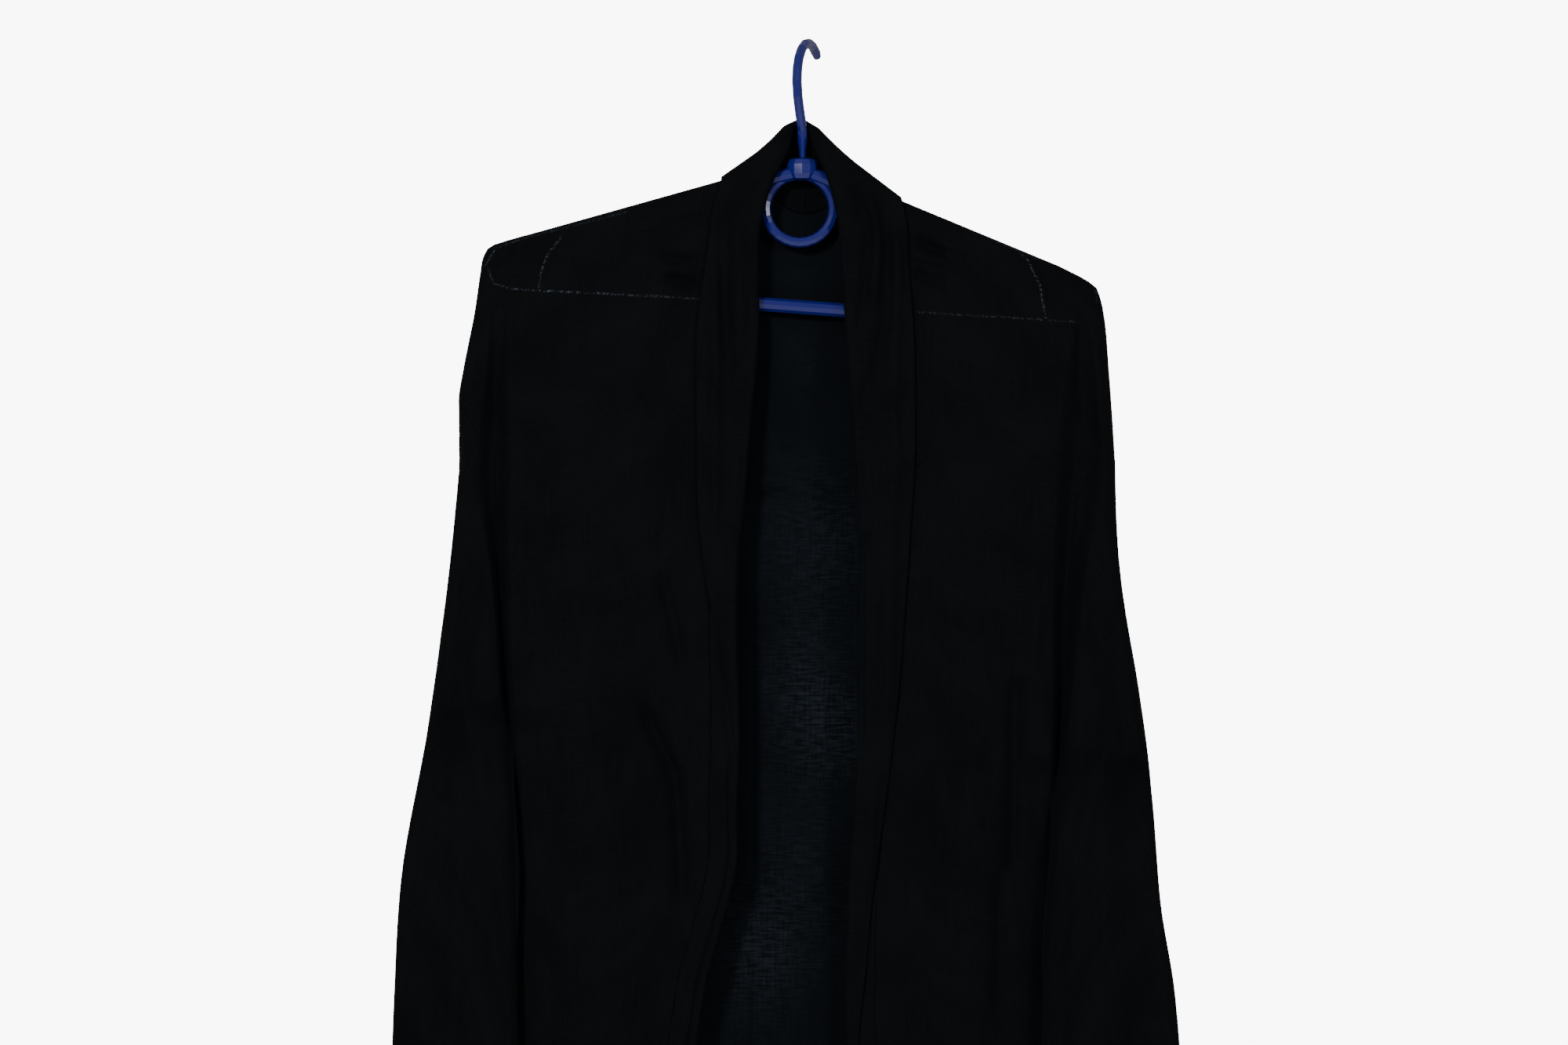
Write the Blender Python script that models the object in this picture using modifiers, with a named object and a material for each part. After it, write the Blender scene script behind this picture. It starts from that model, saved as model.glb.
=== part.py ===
"""Open-front jersey cardigan with a folded collar band, hanging on a tubular plastic hanger.

Metres, +Z up, +X to the viewer's right, the front towards -Y.
The origin is the inner top of the hook, where a rail carries it.
Tables and sizes are in millimetres. A drop is the distance below the origin.
"Right" and "left" are the wearer's, so the right front is at -X.
"""
import math

import bpy
import numpy as np
from mathutils import Matrix

MM = 0.001
CLOTH_WALL = 1.3
COLLAR_WALL = 1.5
SEAM_GAP = 0.3
FOLD_SEAM = 0.36
LAYER_STEP = 2.3

HANGER_Y = -13.3
TUBE_RADIUS = 4.75
WRAP_RADIUS = 6.3
ARC_RADIUS = 3.9
RING_RADIUS = 22.5
RING_TUBE = 3.5
RING_CENTRE = (-6.2, 107.8)
BOSS_RADIUS = 10.5
BOSS_FLATNESS = 0.62
BOSS_CENTRE = (-4.6, 81.6)
BOSS_HEIGHT = 14.5
HOOK_WIRE = 3.25
HOOK_TURN = math.radians(72)

HEM_DROP = 848.0
CUFF_DROP = 751.0
SEAM_STEPS = 9
SLEEVE_ROWS = 15
COLLAR_BACK_STEPS = 6
CENTRE_BACK_SEAM = -1.6
OUTER_FOLD = 9.0
SIDE_FOLD = 7.0


def table(names, *rows):
    """A short table as one array for each named column."""
    return {
        name: np.array(values, float)
        for name, values in zip(names.split(), zip(*rows))
    }


DEPTH = table(
    "drop front back",
    (70, 6.6, 6.6),
    (150, 8.0, 7.6),
    (220, 10.5, 9.5),
    (330, 13.0, 12.0),
    (500, 14.0, 13.5),
    (700, 15.5, 15.0),
    (848, 17.0, 16.0),
)

RIGHT_SHOULDER = table(
    "x drop",
    (-213.0, 134.8),
    (-208.5, 132.0),
    (-202.0, 129.9),
    (-190.0, 126.4),
    (-183.0, 124.6),
    (-39.0, 84.2),
    (-6.2, 75.1),
)
LEFT_SHOULDER = table(
    "x drop",
    (-6.2, 75.1),
    (31.0, 90.5),
    (165.0, 146.0),
    (178.0, 152.4),
    (185.0, 156.4),
    (190.5, 160.8),
)

RIGHT_OUTLINE = table(
    "drop x",
    (134.8, -213.0),
    (141, -216.0),
    (149, -217.4),
    (177, -221.5),
    (214, -228.8),
    (236, -232.0),
    (269, -230.5),
    (307, -236.1),
    (382, -242.8),
    (470, -255.3),
    (549, -268.8),
    (627, -273.5),
    (751, -277.0),
)
LEFT_OUTLINE = table(
    "drop x",
    (160.8, 190.5),
    (166, 192.4),
    (177, 195.0),
    (219, 198.8),
    (250, 201.0),
    (276, 202.6),
    (332, 207.0),
    (390, 213.2),
    (477, 225.2),
    (569, 232.0),
    (625, 240.8),
    (751, 249.0),
)

RIGHT_VALLEY = table(
    "drop x half floor",
    (150, -204.0, 3.5, 8.0),
    (200, -206.0, 5.0, 6.5),
    (275, -208.3, 7.5, 3.2),
    (310, -207.5, 6.0, 2.6),
    (351, -204.0, 4.2, 2.4),
    (458, -198.5, 3.0, 2.4),
)
LEFT_VALLEY = table(
    "drop x half floor",
    (176, 181.0, 3.0, 8.0),
    (215, 181.0, 6.5, 6.0),
    (262, 180.5, 11.0, 3.6),
    (300, 177.5, 9.5, 2.8),
    (350, 172.5, 7.5, 2.4),
    (435, 167.0, 4.4, 2.4),
    (490, 164.0, 3.0, 2.4),
)

RIGHT_SIDE_SEAM = table(
    "drop x",
    (430, -199.0),
    (458, -197.2),
    (485, -196.6),
    (520, -197.0),
    (600, -198.0),
    (848, -200.0),
)
LEFT_SIDE_SEAM = table(
    "drop x",
    (460, 164.4),
    (490, 162.1),
    (515, 161.6),
    (560, 161.2),
    (640, 163.0),
    (848, 168.0),
)

RIGHT_SLEEVE = table(
    "drop inner centre half",
    (236, -207.0, 0.0, 9.5),
    (275, -208.3, 0.0, 9.5),
    (351, -204.0, 0.0, 9.0),
    (458, -199.0, 0.0, 8.5),
    (468, -198.4, -3.5, 8.2),
    (480, -197.6, -8.0, 8.0),
    (500, -196.2, -12.0, 7.5),
    (530, -195.2, -13.2, 7.5),
    (560, -194.5, -13.5, 7.5),
    (627, -192.9, -15.0, 7.5),
    (751, -190.0, -15.5, 7.5),
)
LEFT_SLEEVE = table(
    "drop inner centre half",
    (250, 180.5, 0.0, 9.0),
    (276, 179.0, 0.0, 9.0),
    (350, 172.5, 0.0, 9.0),
    (435, 167.0, 0.0, 8.5),
    (490, 163.9, 0.0, 8.0),
    (500, 163.2, -3.5, 7.8),
    (512, 162.4, -8.0, 7.5),
    (530, 161.4, -12.0, 7.5),
    (560, 160.0, -13.5, 7.5),
    (600, 156.5, -15.0, 7.5),
    (660, 154.0, -16.5, 7.5),
    (751, 152.0, -17.0, 7.5),
)

RIGHT_ROLL = table(
    "drop roll edge bend",
    (60, -12.8, -58.0, 4.2),
    (74, -13.8, -58.0, 4.1),
    (84.2, -15.8, -58.0, 4.0),
    (97, -22.5, -61.5, 3.6),
    (110, -30.2, -64.6, 3.3),
    (120, -32.4, -65.6, 3.1),
    (141, -33.6, -68.2, 2.8),
    (164, -33.4, -71.8, 2.6),
    (198, -34.0, -74.4, 2.4),
    (266, -40.0, -74.2, 2.2),
    (308, -43.2, -73.3, 2.1),
    (348, -46.8, -68.8, 2.0),
    (381, -47.2, -63.6, 1.9),
    (414, -46.8, -58.6, 1.8),
    (460, -46.5, -54.0, 1.8),
    (503, -47.8, -53.2, 1.8),
    (532, -47.5, -52.6, 1.8),
    (559, -51.6, -56.6, 1.8),
    (586, -59.4, -64.4, 1.8),
    (626, -69.6, -74.6, 1.8),
    (700, -78.0, -83.0, 1.8),
    (848, -84.0, -89.0, 1.8),
)
LEFT_ROLL = table(
    "drop roll edge bend",
    (62, 3.2, 61.0, 4.2),
    (74, 5.0, 61.0, 4.1),
    (83, 7.8, 61.0, 4.0),
    (90.5, 12.4, 61.0, 4.0),
    (97, 16.6, 62.6, 3.8),
    (110, 19.6, 65.0, 3.6),
    (137, 20.8, 66.0, 3.0),
    (163, 22.6, 67.8, 2.6),
    (203, 25.4, 69.8, 2.4),
    (260, 29.8, 70.2, 2.2),
    (325, 33.6, 66.6, 2.1),
    (380, 34.4, 62.8, 2.0),
    (414, 34.0, 60.2, 1.9),
    (492, 30.8, 51.4, 1.8),
    (559, 26.2, 42.2, 1.8),
    (615, 24.4, 36.8, 1.8),
    (660, 25.0, 32.4, 1.8),
    (720, 28.0, 33.4, 1.8),
    (848, 34.0, 39.2, 1.8),
)

RIGHT_STAND = table("drop width", (84.2, 23.2), (97, 21.5), (110, 18.4), (120, 18.2), (848, 18.5))
LEFT_STAND = table("drop width", (90.5, 18.6), (110, 18.8), (137, 18.5), (848, 18.5))

RIGHT_NECK = table(
    "step sx sy sd rx ry rd ex ey ed nx ny nd bend",
    (0, -1.9, 13.6, 111.0, -5.8, 11.0, 47.6, -1.9, 19.0, 119.0, 0.00, 1.00, 0.00, 3.0),
    (1, -11.0, 13.4, 109.0, -7.4, 9.8, 48.2, -15.0, 19.2, 118.0, -0.15, 0.98, -0.05, 3.2),
    (2, -20.0, 12.8, 103.5, -9.4, 7.8, 49.4, -29.0, 18.6, 114.5, -0.35, 0.90, -0.20, 3.5),
    (3, -28.5, 11.0, 96.0, -11.0, 5.0, 51.0, -42.0, 15.0, 107.0, -0.62, 0.68, -0.38, 3.8),
    (4, -34.0, 7.6, 90.0, -12.2, 1.8, 53.2, -50.5, 9.3, 94.5, -0.68, 0.40, -0.60, 4.0),
    (5, -37.5, 4.6, 85.8, -12.8, -1.8, 56.4, -54.6, 6.4, 88.6, -0.66, 0.20, -0.72, 4.1),
    (6, -39.0, 0.0, 84.2, -13.0, -5.2, 61.0, -58.0, -0.2, 87.0, -0.58, 0.00, -0.81, 4.2),
)
LEFT_NECK = table(
    "step sx sy sd rx ry rd ex ey ed nx ny nd bend",
    (0, -1.3, 13.6, 111.0, -4.5, 11.0, 47.6, -1.3, 19.0, 119.0, 0.00, 1.00, 0.00, 3.0),
    (1, 6.0, 13.4, 109.5, -3.2, 9.8, 48.4, 12.0, 19.2, 120.0, 0.15, 0.98, -0.05, 3.2),
    (2, 13.0, 12.8, 105.5, -1.2, 7.8, 49.8, 27.0, 18.6, 119.0, 0.35, 0.90, -0.20, 3.5),
    (3, 20.0, 11.0, 99.5, 0.6, 5.0, 52.0, 42.0, 15.0, 115.0, 0.62, 0.68, -0.38, 3.8),
    (4, 25.4, 7.6, 95.0, 2.0, 1.8, 54.8, 52.0, 9.3, 105.6, 0.66, 0.40, -0.63, 4.0),
    (5, 29.4, 4.6, 91.6, 2.8, -1.8, 58.4, 57.2, 6.4, 101.2, 0.62, 0.20, -0.74, 4.1),
    (6, 31.0, 0.0, 90.5, 3.4, -5.2, 63.0, 61.0, -0.2, 100.6, 0.54, 0.00, -0.84, 4.2),
)

FRONT_FOLDS = table(
    "x0 d0 x1 d1 width height",
    (-110, 425, -84, 500, 9, -2.2),
    (-85, 500, -80, 600, 9, -2.4),
    (-97, 345, -82, 415, 8, -1.4),
    (-150, 300, -152, 848, 26, 2.2),
    (-118, 520, -112, 848, 16, 2.6),
    (-176, 420, -172, 848, 12, -2.0),
    (136, 400, 134, 560, 10, -1.6),
    (126, 540, 124, 700, 11, -2.0),
    (100, 300, 98, 848, 24, 2.0),
    (146, 560, 146, 848, 10, 1.8),
    (66, 600, 64, 848, 14, -2.2),
    (-190, 190, -194, 470, 9, 2.4),
    (156, 200, 152, 520, 9, 2.4),
)
BACK_FOLDS = table(
    "x0 d0 x1 d1 width height",
    (-150, 260, -148, 848, 20, 3.0),
    (-95, 330, -90, 848, 15, -2.6),
    (-40, 300, -44, 848, 22, 2.8),
    (12, 360, 10, 848, 14, -2.4),
    (55, 280, 60, 848, 20, 3.2),
    (110, 380, 106, 848, 14, -2.8),
    (150, 420, 150, 848, 12, 2.0),
    (-190, 190, -194, 470, 9, 2.0),
    (156, 200, 152, 520, 9, 2.0),
)
SLEEVE_FOLDS = table(
    "x0 d0 x1 d1 width height",
    (-222, 300, -236, 751, 7, 1.6),
    (-246, 440, -258, 751, 7, -1.4),
    (-214, 470, -212, 751, 6, -1.2),
    (192, 330, 204, 751, 7, 1.6),
    (212, 450, 226, 751, 7, -1.4),
    (178, 520, 172, 751, 6, -1.2),
)

SIDES = {
    "right": {
        "sign": -1,
        "shoulder": RIGHT_SHOULDER,
        "outline": RIGHT_OUTLINE,
        "valley": RIGHT_VALLEY,
        "side": RIGHT_SIDE_SEAM,
        "sleeve": RIGHT_SLEEVE,
        "roll": RIGHT_ROLL,
        "stand": RIGHT_STAND,
        "neck": RIGHT_NECK,
        "tip": (-213.0, 134.8),
        "neck_point": (-39.0, 84.2),
        "nick": 236.0,
        "recess": 275.0,
        "underarm": 458.0,
    },
    "left": {
        "sign": 1,
        "shoulder": LEFT_SHOULDER,
        "outline": LEFT_OUTLINE,
        "valley": LEFT_VALLEY,
        "side": LEFT_SIDE_SEAM,
        "sleeve": LEFT_SLEEVE,
        "roll": LEFT_ROLL,
        "stand": LEFT_STAND,
        "neck": LEFT_NECK,
        "tip": (190.5, 160.8),
        "neck_point": (31.0, 90.5),
        "nick": 276.0,
        "recess": 300.0,
        "underarm": 490.0,
    },
}


def smooth(t):
    """0 to 1 with flat ends."""
    t = np.clip(t, 0.0, 1.0)
    return t * t * (3 - 2 * t)


def through(xs, ys, at):
    """A smooth curve through the points that never overshoots them."""
    steps = np.diff(xs)
    slopes = np.diff(ys) / steps
    tangents = np.concatenate([slopes[:1], (slopes[1:] + slopes[:-1]) / 2, slopes[-1:]])
    flat = slopes[1:] * slopes[:-1] <= 0
    tangents[1:-1][flat] = 0
    for i, slope in enumerate(slopes):
        limit = 3 * abs(slope)
        tangents[i] = np.clip(tangents[i], -limit, limit)
        tangents[i + 1] = np.clip(tangents[i + 1], -limit, limit)
    at = np.clip(at, xs[0], xs[-1])
    i = np.clip(np.searchsorted(xs, at, side="right") - 1, 0, len(steps) - 1)
    t = (at - xs[i]) / steps[i]
    return (
        ys[i] * (1 + 2 * t) * (1 - t) ** 2
        + ys[i + 1] * t * t * (3 - 2 * t)
        + steps[i] * t * (1 - t) * (tangents[i] * (1 - t) - tangents[i + 1] * t)
    )


def read(rows, name, at, by="drop"):
    return through(rows[by], rows[name], at)


def rounded(distance, radius):
    """How far out a fold's curve has come at this distance in from its edge, from 0 to 1."""
    t = np.clip(distance / radius, 0.0, 1.0)
    return np.sqrt(1 - (1 - t) ** 2)


def ridges(folds, x, drop):
    """The height of all the long folds at a point, each fading out at its two ends."""
    total = np.zeros(np.broadcast(x, drop).shape)
    for x0, d0, x1, d1, width, height in zip(*folds.values()):
        along = (drop - d0) / (d1 - d0)
        line = x0 + (x1 - x0) * along
        ends = smooth(along * 4) * (smooth((1 - along) * 4) if d1 < CUFF_DROP else 1)
        total = total + height * ends * np.exp(-(((x - line) / width) ** 2))
    return total


def shoulder_drop(side, x):
    return np.interp(x, side["shoulder"]["x"], side["shoulder"]["drop"])


def body_depth(side, x, drop, face):
    """How far the front or back lies from the hanger's plane."""
    sign = side["sign"]
    folds = FRONT_FOLDS if face == "front" else BACK_FOLDS
    below = (drop - shoulder_drop(side, x)) * 0.94
    outer = sign * (read(side["outline"], "x", drop) - x)
    outer = np.where(drop < side["tip"][1], 99.0, outer)
    wrap = rounded(np.minimum(outer / OUTER_FOLD, below / WRAP_RADIUS), 1.0)
    base = read(DEPTH, face, drop)
    relief = ridges(folds, x, drop) * smooth((drop - 190) / 60)
    depth = (base + relief) * wrap
    valley = side["valley"]
    gap = np.abs(x - read(valley, "x", drop)) / read(valley, "half", drop)
    wall = smooth((gap - 0.3) / 1.3)
    floor = read(valley, "floor", drop)
    start = smooth((drop - valley["drop"][0] + 12) / 30)
    sunk = np.minimum(depth, floor + np.maximum(depth - floor, 0) * wall)
    depth = depth + (sunk - depth) * start
    inside = sign * (read(side["side"], "x", drop) - x)
    thin = 0.42 + 0.58 * smooth(inside / 42)
    closing = (base * thin + relief * smooth(inside / 30)) * rounded(inside, SIDE_FOLD)
    below_arm = smooth((drop - side["underarm"] + 24) / 24)
    return depth + (closing - depth) * below_arm


def body_centre(side, x, drop):
    """The side fold hangs a little behind the hanger's plane, clear of the sleeve."""
    inside = side["sign"] * (read(side["side"], "x", drop) - x)
    back = 4.0 * smooth((drop - side["underarm"]) / 50)
    return back * (1 - smooth(inside / 60))


def body_y(side, x, drop, face):
    sign = -1 if face == "front" else 1
    return body_centre(side, x, drop) + sign * body_depth(side, x, drop, face)


def sleeve_y(side, x, drop, face):
    """The sleeve's two faces, which meet at its outer and inner folds below the underarm."""
    sign = -1 if face == "front" else 1
    rows = side["sleeve"]
    outer = side["sign"] * (read(side["outline"], "x", drop) - x)
    inner = side["sign"] * (x - read(rows, "inner", drop))
    half = read(rows, "half", drop)
    closed = (half + ridges(SLEEVE_FOLDS, x, drop)) * rounded(
        np.minimum(outer / OUTER_FOLD, inner / SIDE_FOLD), 1.0
    )
    above = smooth((side["underarm"] - drop) / 24)
    depth = closed + (body_depth(side, x, drop, face) - closed) * above
    return read(rows, "centre", drop) + sign * depth


def armhole(side):
    """Seam points from the outer fold, across the sleeve's top, down the recess to the underarm."""
    nick, recess, underarm = side["nick"], side["recess"], side["underarm"]
    start = np.array([read(side["outline"], "x", nick), nick])
    turn = np.array([read(side["valley"], "x", recess), recess])
    points = [start + (turn - start) * t for t in (0.0, 0.16, 0.42, 0.74)]
    drops = recess + (underarm - recess) * np.array([0.0, 0.16, 0.36, 0.58, 0.8, 1.0])
    points += [np.array([read(side["valley"], "x", d), d]) for d in drops]
    return np.array(points)


def outer_ends(side):
    """Where each row of a front or back ends: down the outer fold, the armhole and the side seam."""
    tip_x, tip = side["tip"]
    hanging = tip + (side["nick"] - tip) * np.array([0.16, 0.34, 0.55, 0.78])
    drops = np.concatenate([[tip, tip + 0.9, tip + 3.2, tip + 6.4], hanging])
    fold = np.array([[read(side["outline"], "x", d), d] for d in drops])
    seam = armhole(side)
    seam[:, 0] -= side["sign"] * SEAM_GAP
    seam[:4, 1] -= SEAM_GAP
    side_drops = side["underarm"] + (HEM_DROP - side["underarm"]) * np.array(
        [0.035, 0.09, 0.17, 0.28, 0.41, 0.55, 0.7, 0.85, 1.0]
    )
    body = np.array([[read(side["side"], "x", d), d] for d in side_drops])
    seam[-1, 0] = read(side["side"], "x", side["underarm"])
    return np.concatenate([fold, seam, body])


def inner_drops(side, ends):
    """The drop at which each row meets the collar seam: level with its outer end low down."""
    tip, neck = side["tip"][1], side["neck_point"][1]
    fade = 1 - smooth((ends[:, 1] - tip) / 220)
    return ends[:, 1] - (tip - neck) * fade


def seam_x(side, drop):
    """The front edge of a front panel, under the collar's fold."""
    roll = read(side["roll"], "roll", drop)
    return roll + side["sign"] * read(side["stand"], "width", drop)


def spread(width, count):
    """Distances in from a row's outer end: close at the fold, even beyond it."""
    close = np.array([0.0, 0.9, 3.2, 6.6, 11.0, 17.0, 24.0])
    rest = np.linspace(0, 1, count - len(close) + 1)[1:]
    return np.concatenate([close, close[-1] + (width - close[-1]) * rest])


def row_points(side, end, drop_in, x_in, count, flatten):
    """Plan positions along one row, from the outer end in to x_in."""
    away = -side["sign"]
    width = abs(end[0] - x_in)
    x = end[0] + away * spread(width, count)
    share = np.abs(x - x_in) / width
    line_in = shoulder_drop(side, x_in)
    line_out = shoulder_drop(side, end[0])
    straight = line_in + (line_out - line_in) * share
    shoulder = shoulder_drop(side, x)
    line = shoulder + (straight - shoulder) * flatten
    below = (drop_in - line_in) + ((end[1] - line_out) - (drop_in - line_in)) * share
    return x, line + below


def front_grid(side, count=17):
    """Rows from the shoulder seam to the hem, columns from the outer end in to the collar seam."""
    ends = outer_ends(side)
    drops = inner_drops(side, ends)
    rows = []
    for i, (end, drop_in) in enumerate(zip(ends, drops)):
        x_in = seam_x(side, drop_in) + side["sign"] * SEAM_GAP / 2
        x, drop = row_points(side, end, drop_in, x_in, count, smooth(i / 8))
        y = body_y(side, x, drop, "front")
        y = np.minimum(y, body_centre(side, x, drop) - FOLD_SEAM)
        rows.append(np.stack([x, y, drop], axis=1))
    return np.array(rows)


def neck_drop(x):
    """The back neck line between the two neck points."""
    steps_r, steps_l = RIGHT_NECK, LEFT_NECK
    xs = np.concatenate([steps_r["sx"][::-1], steps_l["sx"]])
    ds = np.concatenate([steps_r["sd"][::-1], steps_l["sd"]])
    return through(xs, ds, x)


def neck_back_y(x):
    xs = np.concatenate([RIGHT_NECK["sx"][::-1], LEFT_NECK["sx"]])
    ys = np.concatenate([RIGHT_NECK["sy"][::-1], LEFT_NECK["sy"]])
    return through(xs, ys, x)


def back_grid(count=13):
    """Rows from the shoulders and back neck to the hem, columns from the right to the left."""
    right, left = SIDES["right"], SIDES["left"]
    ends_r, ends_l = outer_ends(right), outer_ends(left)
    drops_r, drops_l = inner_drops(right, ends_r), inner_drops(left, ends_l)
    neck_x = np.concatenate(
        [RIGHT_NECK["sx"][-2:0:-1], [CENTRE_BACK_SEAM], LEFT_NECK["sx"][1:-1]]
    )
    rows = []
    for i, (end_r, end_l) in enumerate(zip(ends_r, ends_l)):
        open_out = smooth((i - 3) / 12)
        x_r = right["neck_point"][0]
        x_l = left["neck_point"][0]
        xr, dr = row_points(right, end_r, drops_r[i], x_r, count, smooth(i / 8))
        xl, dl = row_points(left, end_l, drops_l[i], x_l, count, smooth(i / 8))
        even = np.linspace(x_r, x_l, len(neck_x) + 2)[1:-1]
        xm = neck_x + (even - neck_x) * open_out
        share = (xm - x_r) / (x_l - x_r)
        level = drops_r[i] + (drops_l[i] - drops_r[i]) * share
        top = drops_r[0] + (drops_l[0] - drops_r[0]) * share
        dip = neck_drop(xm) + 0.75 * SEAM_GAP - top
        dm = level + dip * (1 - smooth((level - top) / 120))
        yr = np.maximum(body_y(right, xr, dr, "back"), body_centre(right, xr, dr) + FOLD_SEAM)
        yl = np.maximum(body_y(left, xl, dl, "back"), body_centre(left, xl, dl) + FOLD_SEAM)
        fade = smooth((level - top) / 90)
        hung = yr[-1] + (yl[-1] - yr[-1]) * share + ridges(BACK_FOLDS, xm, dm) * fade
        ym = np.maximum(hung, neck_back_y(xm) * (1 - smooth((level - top) / 260)))
        rows.append(
            np.stack(
                [
                    np.concatenate([xr, xm, xl[::-1]]),
                    np.concatenate([yr, ym, yl[::-1]]),
                    np.concatenate([dr, dm, dl[::-1]]),
                ],
                axis=1,
            )
        )
    return np.array(rows)


def sleeve_grid(side):
    """Rows from the armhole to the cuff, columns round the tube from the inner fold over the front."""
    seam = armhole(side)[::-1].copy()
    seam[:, 0] += side["sign"] * SEAM_GAP
    seam[-4:, 1] += SEAM_GAP
    seam[0] = (read(side["sleeve"], "inner", side["underarm"]), side["underarm"] + 2.0)
    share = (1 - np.cos(np.pi * np.arange(SEAM_STEPS + 1) / SEAM_STEPS)) / 2
    rows = []
    for down in (np.arange(SLEEVE_ROWS + 1) / SLEEVE_ROWS) ** 1.5:
        drop = seam[:, 1] + (CUFF_DROP - seam[:, 1]) * down
        inner = read(side["sleeve"], "inner", drop)
        outer = read(side["outline"], "x", drop)
        x = inner + (outer - inner) * share
        x = seam[:, 0] + (x - seam[:, 0]) * smooth(down / 0.32)
        front = sleeve_y(side, x, drop, "front")
        back = sleeve_y(side, x, drop, "back")
        loop = [np.stack([x, front, drop], axis=1)]
        loop.append(np.stack([x, back, drop], axis=1)[-2:0:-1])
        rows.append(np.concatenate(loop))
    return np.array(rows)


def unit(v):
    return v / np.linalg.norm(v, axis=-1, keepdims=True)


def collar_section(seam, roll, edge, out, bend):
    """One cross line of the band: up the stand, round the roll and down the fall."""
    down = (seam + edge) / 2 - roll
    out = unit(out)
    down = unit(down - out * np.dot(down, out))
    centre = roll + down * bend
    start, end = centre - out * bend, centre + out * bend
    stand = [seam + (start - seam) * t for t in (0.0, 0.35, 0.7)]
    turn = [
        centre - out * bend * math.cos(a) - down * bend * math.sin(a)
        for a in np.pi * np.array([0.0, 0.25, 0.5, 0.75, 1.0])
    ]
    fall = [end + (edge - end) * t for t in (0.34, 0.68, 1.0)]
    return np.array(stand + turn + fall)


def on_panel(side, x, drop, lift):
    """A point this far out from the front panel, square to it where it curves over the arm."""
    curve = rounded((drop - shoulder_drop(side, x)) * 0.94 / WRAP_RADIUS, 1.0)
    y = body_y(side, x, drop, "front") - lift * curve
    return np.stack([x, y, drop - lift * np.sqrt(1 - curve**2)], axis=-1)


def front_section(side, drop):
    """A cross line on the front, where the stand and fall follow the front panel's own form."""
    sign = side["sign"]
    neck = side["neck_point"][1]
    roll = read(side["roll"], "roll", drop)
    edge = read(side["roll"], "edge", drop)
    bend = read(side["roll"], "bend", drop)
    seam = seam_x(side, drop)
    turn_x = roll + sign * bend
    stand_x = seam + (turn_x - seam) * np.array([0.0, 0.35, 0.7])
    fall_x = turn_x + (edge - turn_x) * np.array([0.34, 0.68, 1.0])
    angle = np.pi * np.array([0.0, 0.25, 0.5, 0.75, 1.0])
    turn = turn_x - sign * bend * np.sin(angle)
    rise = 2 * bend + (LAYER_STEP - 2 * bend) * np.array([0.34, 0.68, 1.0])
    x = np.concatenate([stand_x, turn, fall_x])
    lift = np.concatenate([np.zeros(3), bend * (1 - np.cos(angle)), rise])
    slope = 1 - smooth((drop - neck) / 140)
    panel_x = np.where(sign * (x - turn_x) > 0, x, turn_x)
    level = drop + (shoulder_drop(side, x) - shoulder_drop(side, seam)) * slope
    found = on_panel(side, panel_x, level, lift)
    found[:, 0] = x
    return found


def collar_grid(side):
    """Rows from the centre back round the neck and down the front, columns across the band."""
    neck = side["neck"]
    sign = side["sign"]
    rows = []
    for step in np.linspace(0, 6, COLLAR_BACK_STEPS + 1):
        value = {name: read(neck, name, step, by="step") for name in neck}
        seam = np.array([value["sx"], value["sy"], value["sd"] - SEAM_GAP])
        roll = np.array([value["rx"], value["ry"], value["rd"]])
        edge = np.array([value["ex"], value["ey"], value["ed"]])
        out = np.array([value["nx"], value["ny"], value["nd"]])
        rows.append(collar_section(seam, roll, edge, out, value["bend"]))
    top = side["neck_point"][1]
    for drop in inner_drops(side, outer_ends(side))[1:]:
        low = front_section(side, drop)
        low_roll = low[5]
        forward = smooth((drop - top) / 50)
        middle = roll + (low_roll - roll) * forward + [0, -3.0 * math.sin(math.pi * forward), 0]
        middle[0] = read(side["roll"], "roll", middle[2])
        facing = out + (np.array([0.0, -1.0, 0.0]) - out) * forward
        bend = read(side["roll"], "bend", drop)
        high = collar_section(low[0], middle, low[-1], facing, bend)
        found = high + (low - high) * smooth((drop - top - 15) / 45)
        found[0, 0] -= sign * SEAM_GAP * (1 - forward / 2)
        rows.append(found)
    return np.array(rows)


def fresh_collection(name):
    collection = bpy.data.collections.new(name)
    bpy.context.scene.collection.children.link(collection)
    return collection


def material(name, colour, roughness):
    made = bpy.data.materials.new(name)
    made.use_nodes = True
    shader = made.node_tree.nodes["Principled BSDF"]
    shader.inputs["Base Color"].default_value = (*colour, 1)
    shader.inputs["Roughness"].default_value = roughness
    made.diffuse_color = (*colour, 1)
    return made


def to_world(points):
    """Millimetres across, behind the hanger's plane and below the hook, to metres."""
    points = np.asarray(points, float)
    return np.stack(
        [points[..., 0], points[..., 1] + HANGER_Y, -points[..., 2]], axis=-1
    ) * MM


def cloth(name, grid, wall, paint, home, ring=False, flip=False):
    """An open surface from a grid of points, given its wall by Solidify."""
    rows, columns = grid.shape[:2]
    faces = []
    for r in range(rows - 1):
        for c in range(columns if ring else columns - 1):
            n = (c + 1) % columns
            quad = (r * columns + c, r * columns + n, (r + 1) * columns + n, (r + 1) * columns + c)
            faces.append(quad[::-1] if flip else quad)
    mesh = bpy.data.meshes.new(name)
    mesh.from_pydata(to_world(grid).reshape(-1, 3).tolist(), [], faces)
    mesh.validate()
    mesh.shade_smooth()
    mesh.materials.append(paint)
    made = bpy.data.objects.new(name, mesh)
    home.objects.link(made)
    shell = made.modifiers.new("Wall", "SOLIDIFY")
    shell.thickness = wall * MM
    shell.offset = 0
    shell.use_even_offset = False
    shell.thickness_clamp = 0
    return made


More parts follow.
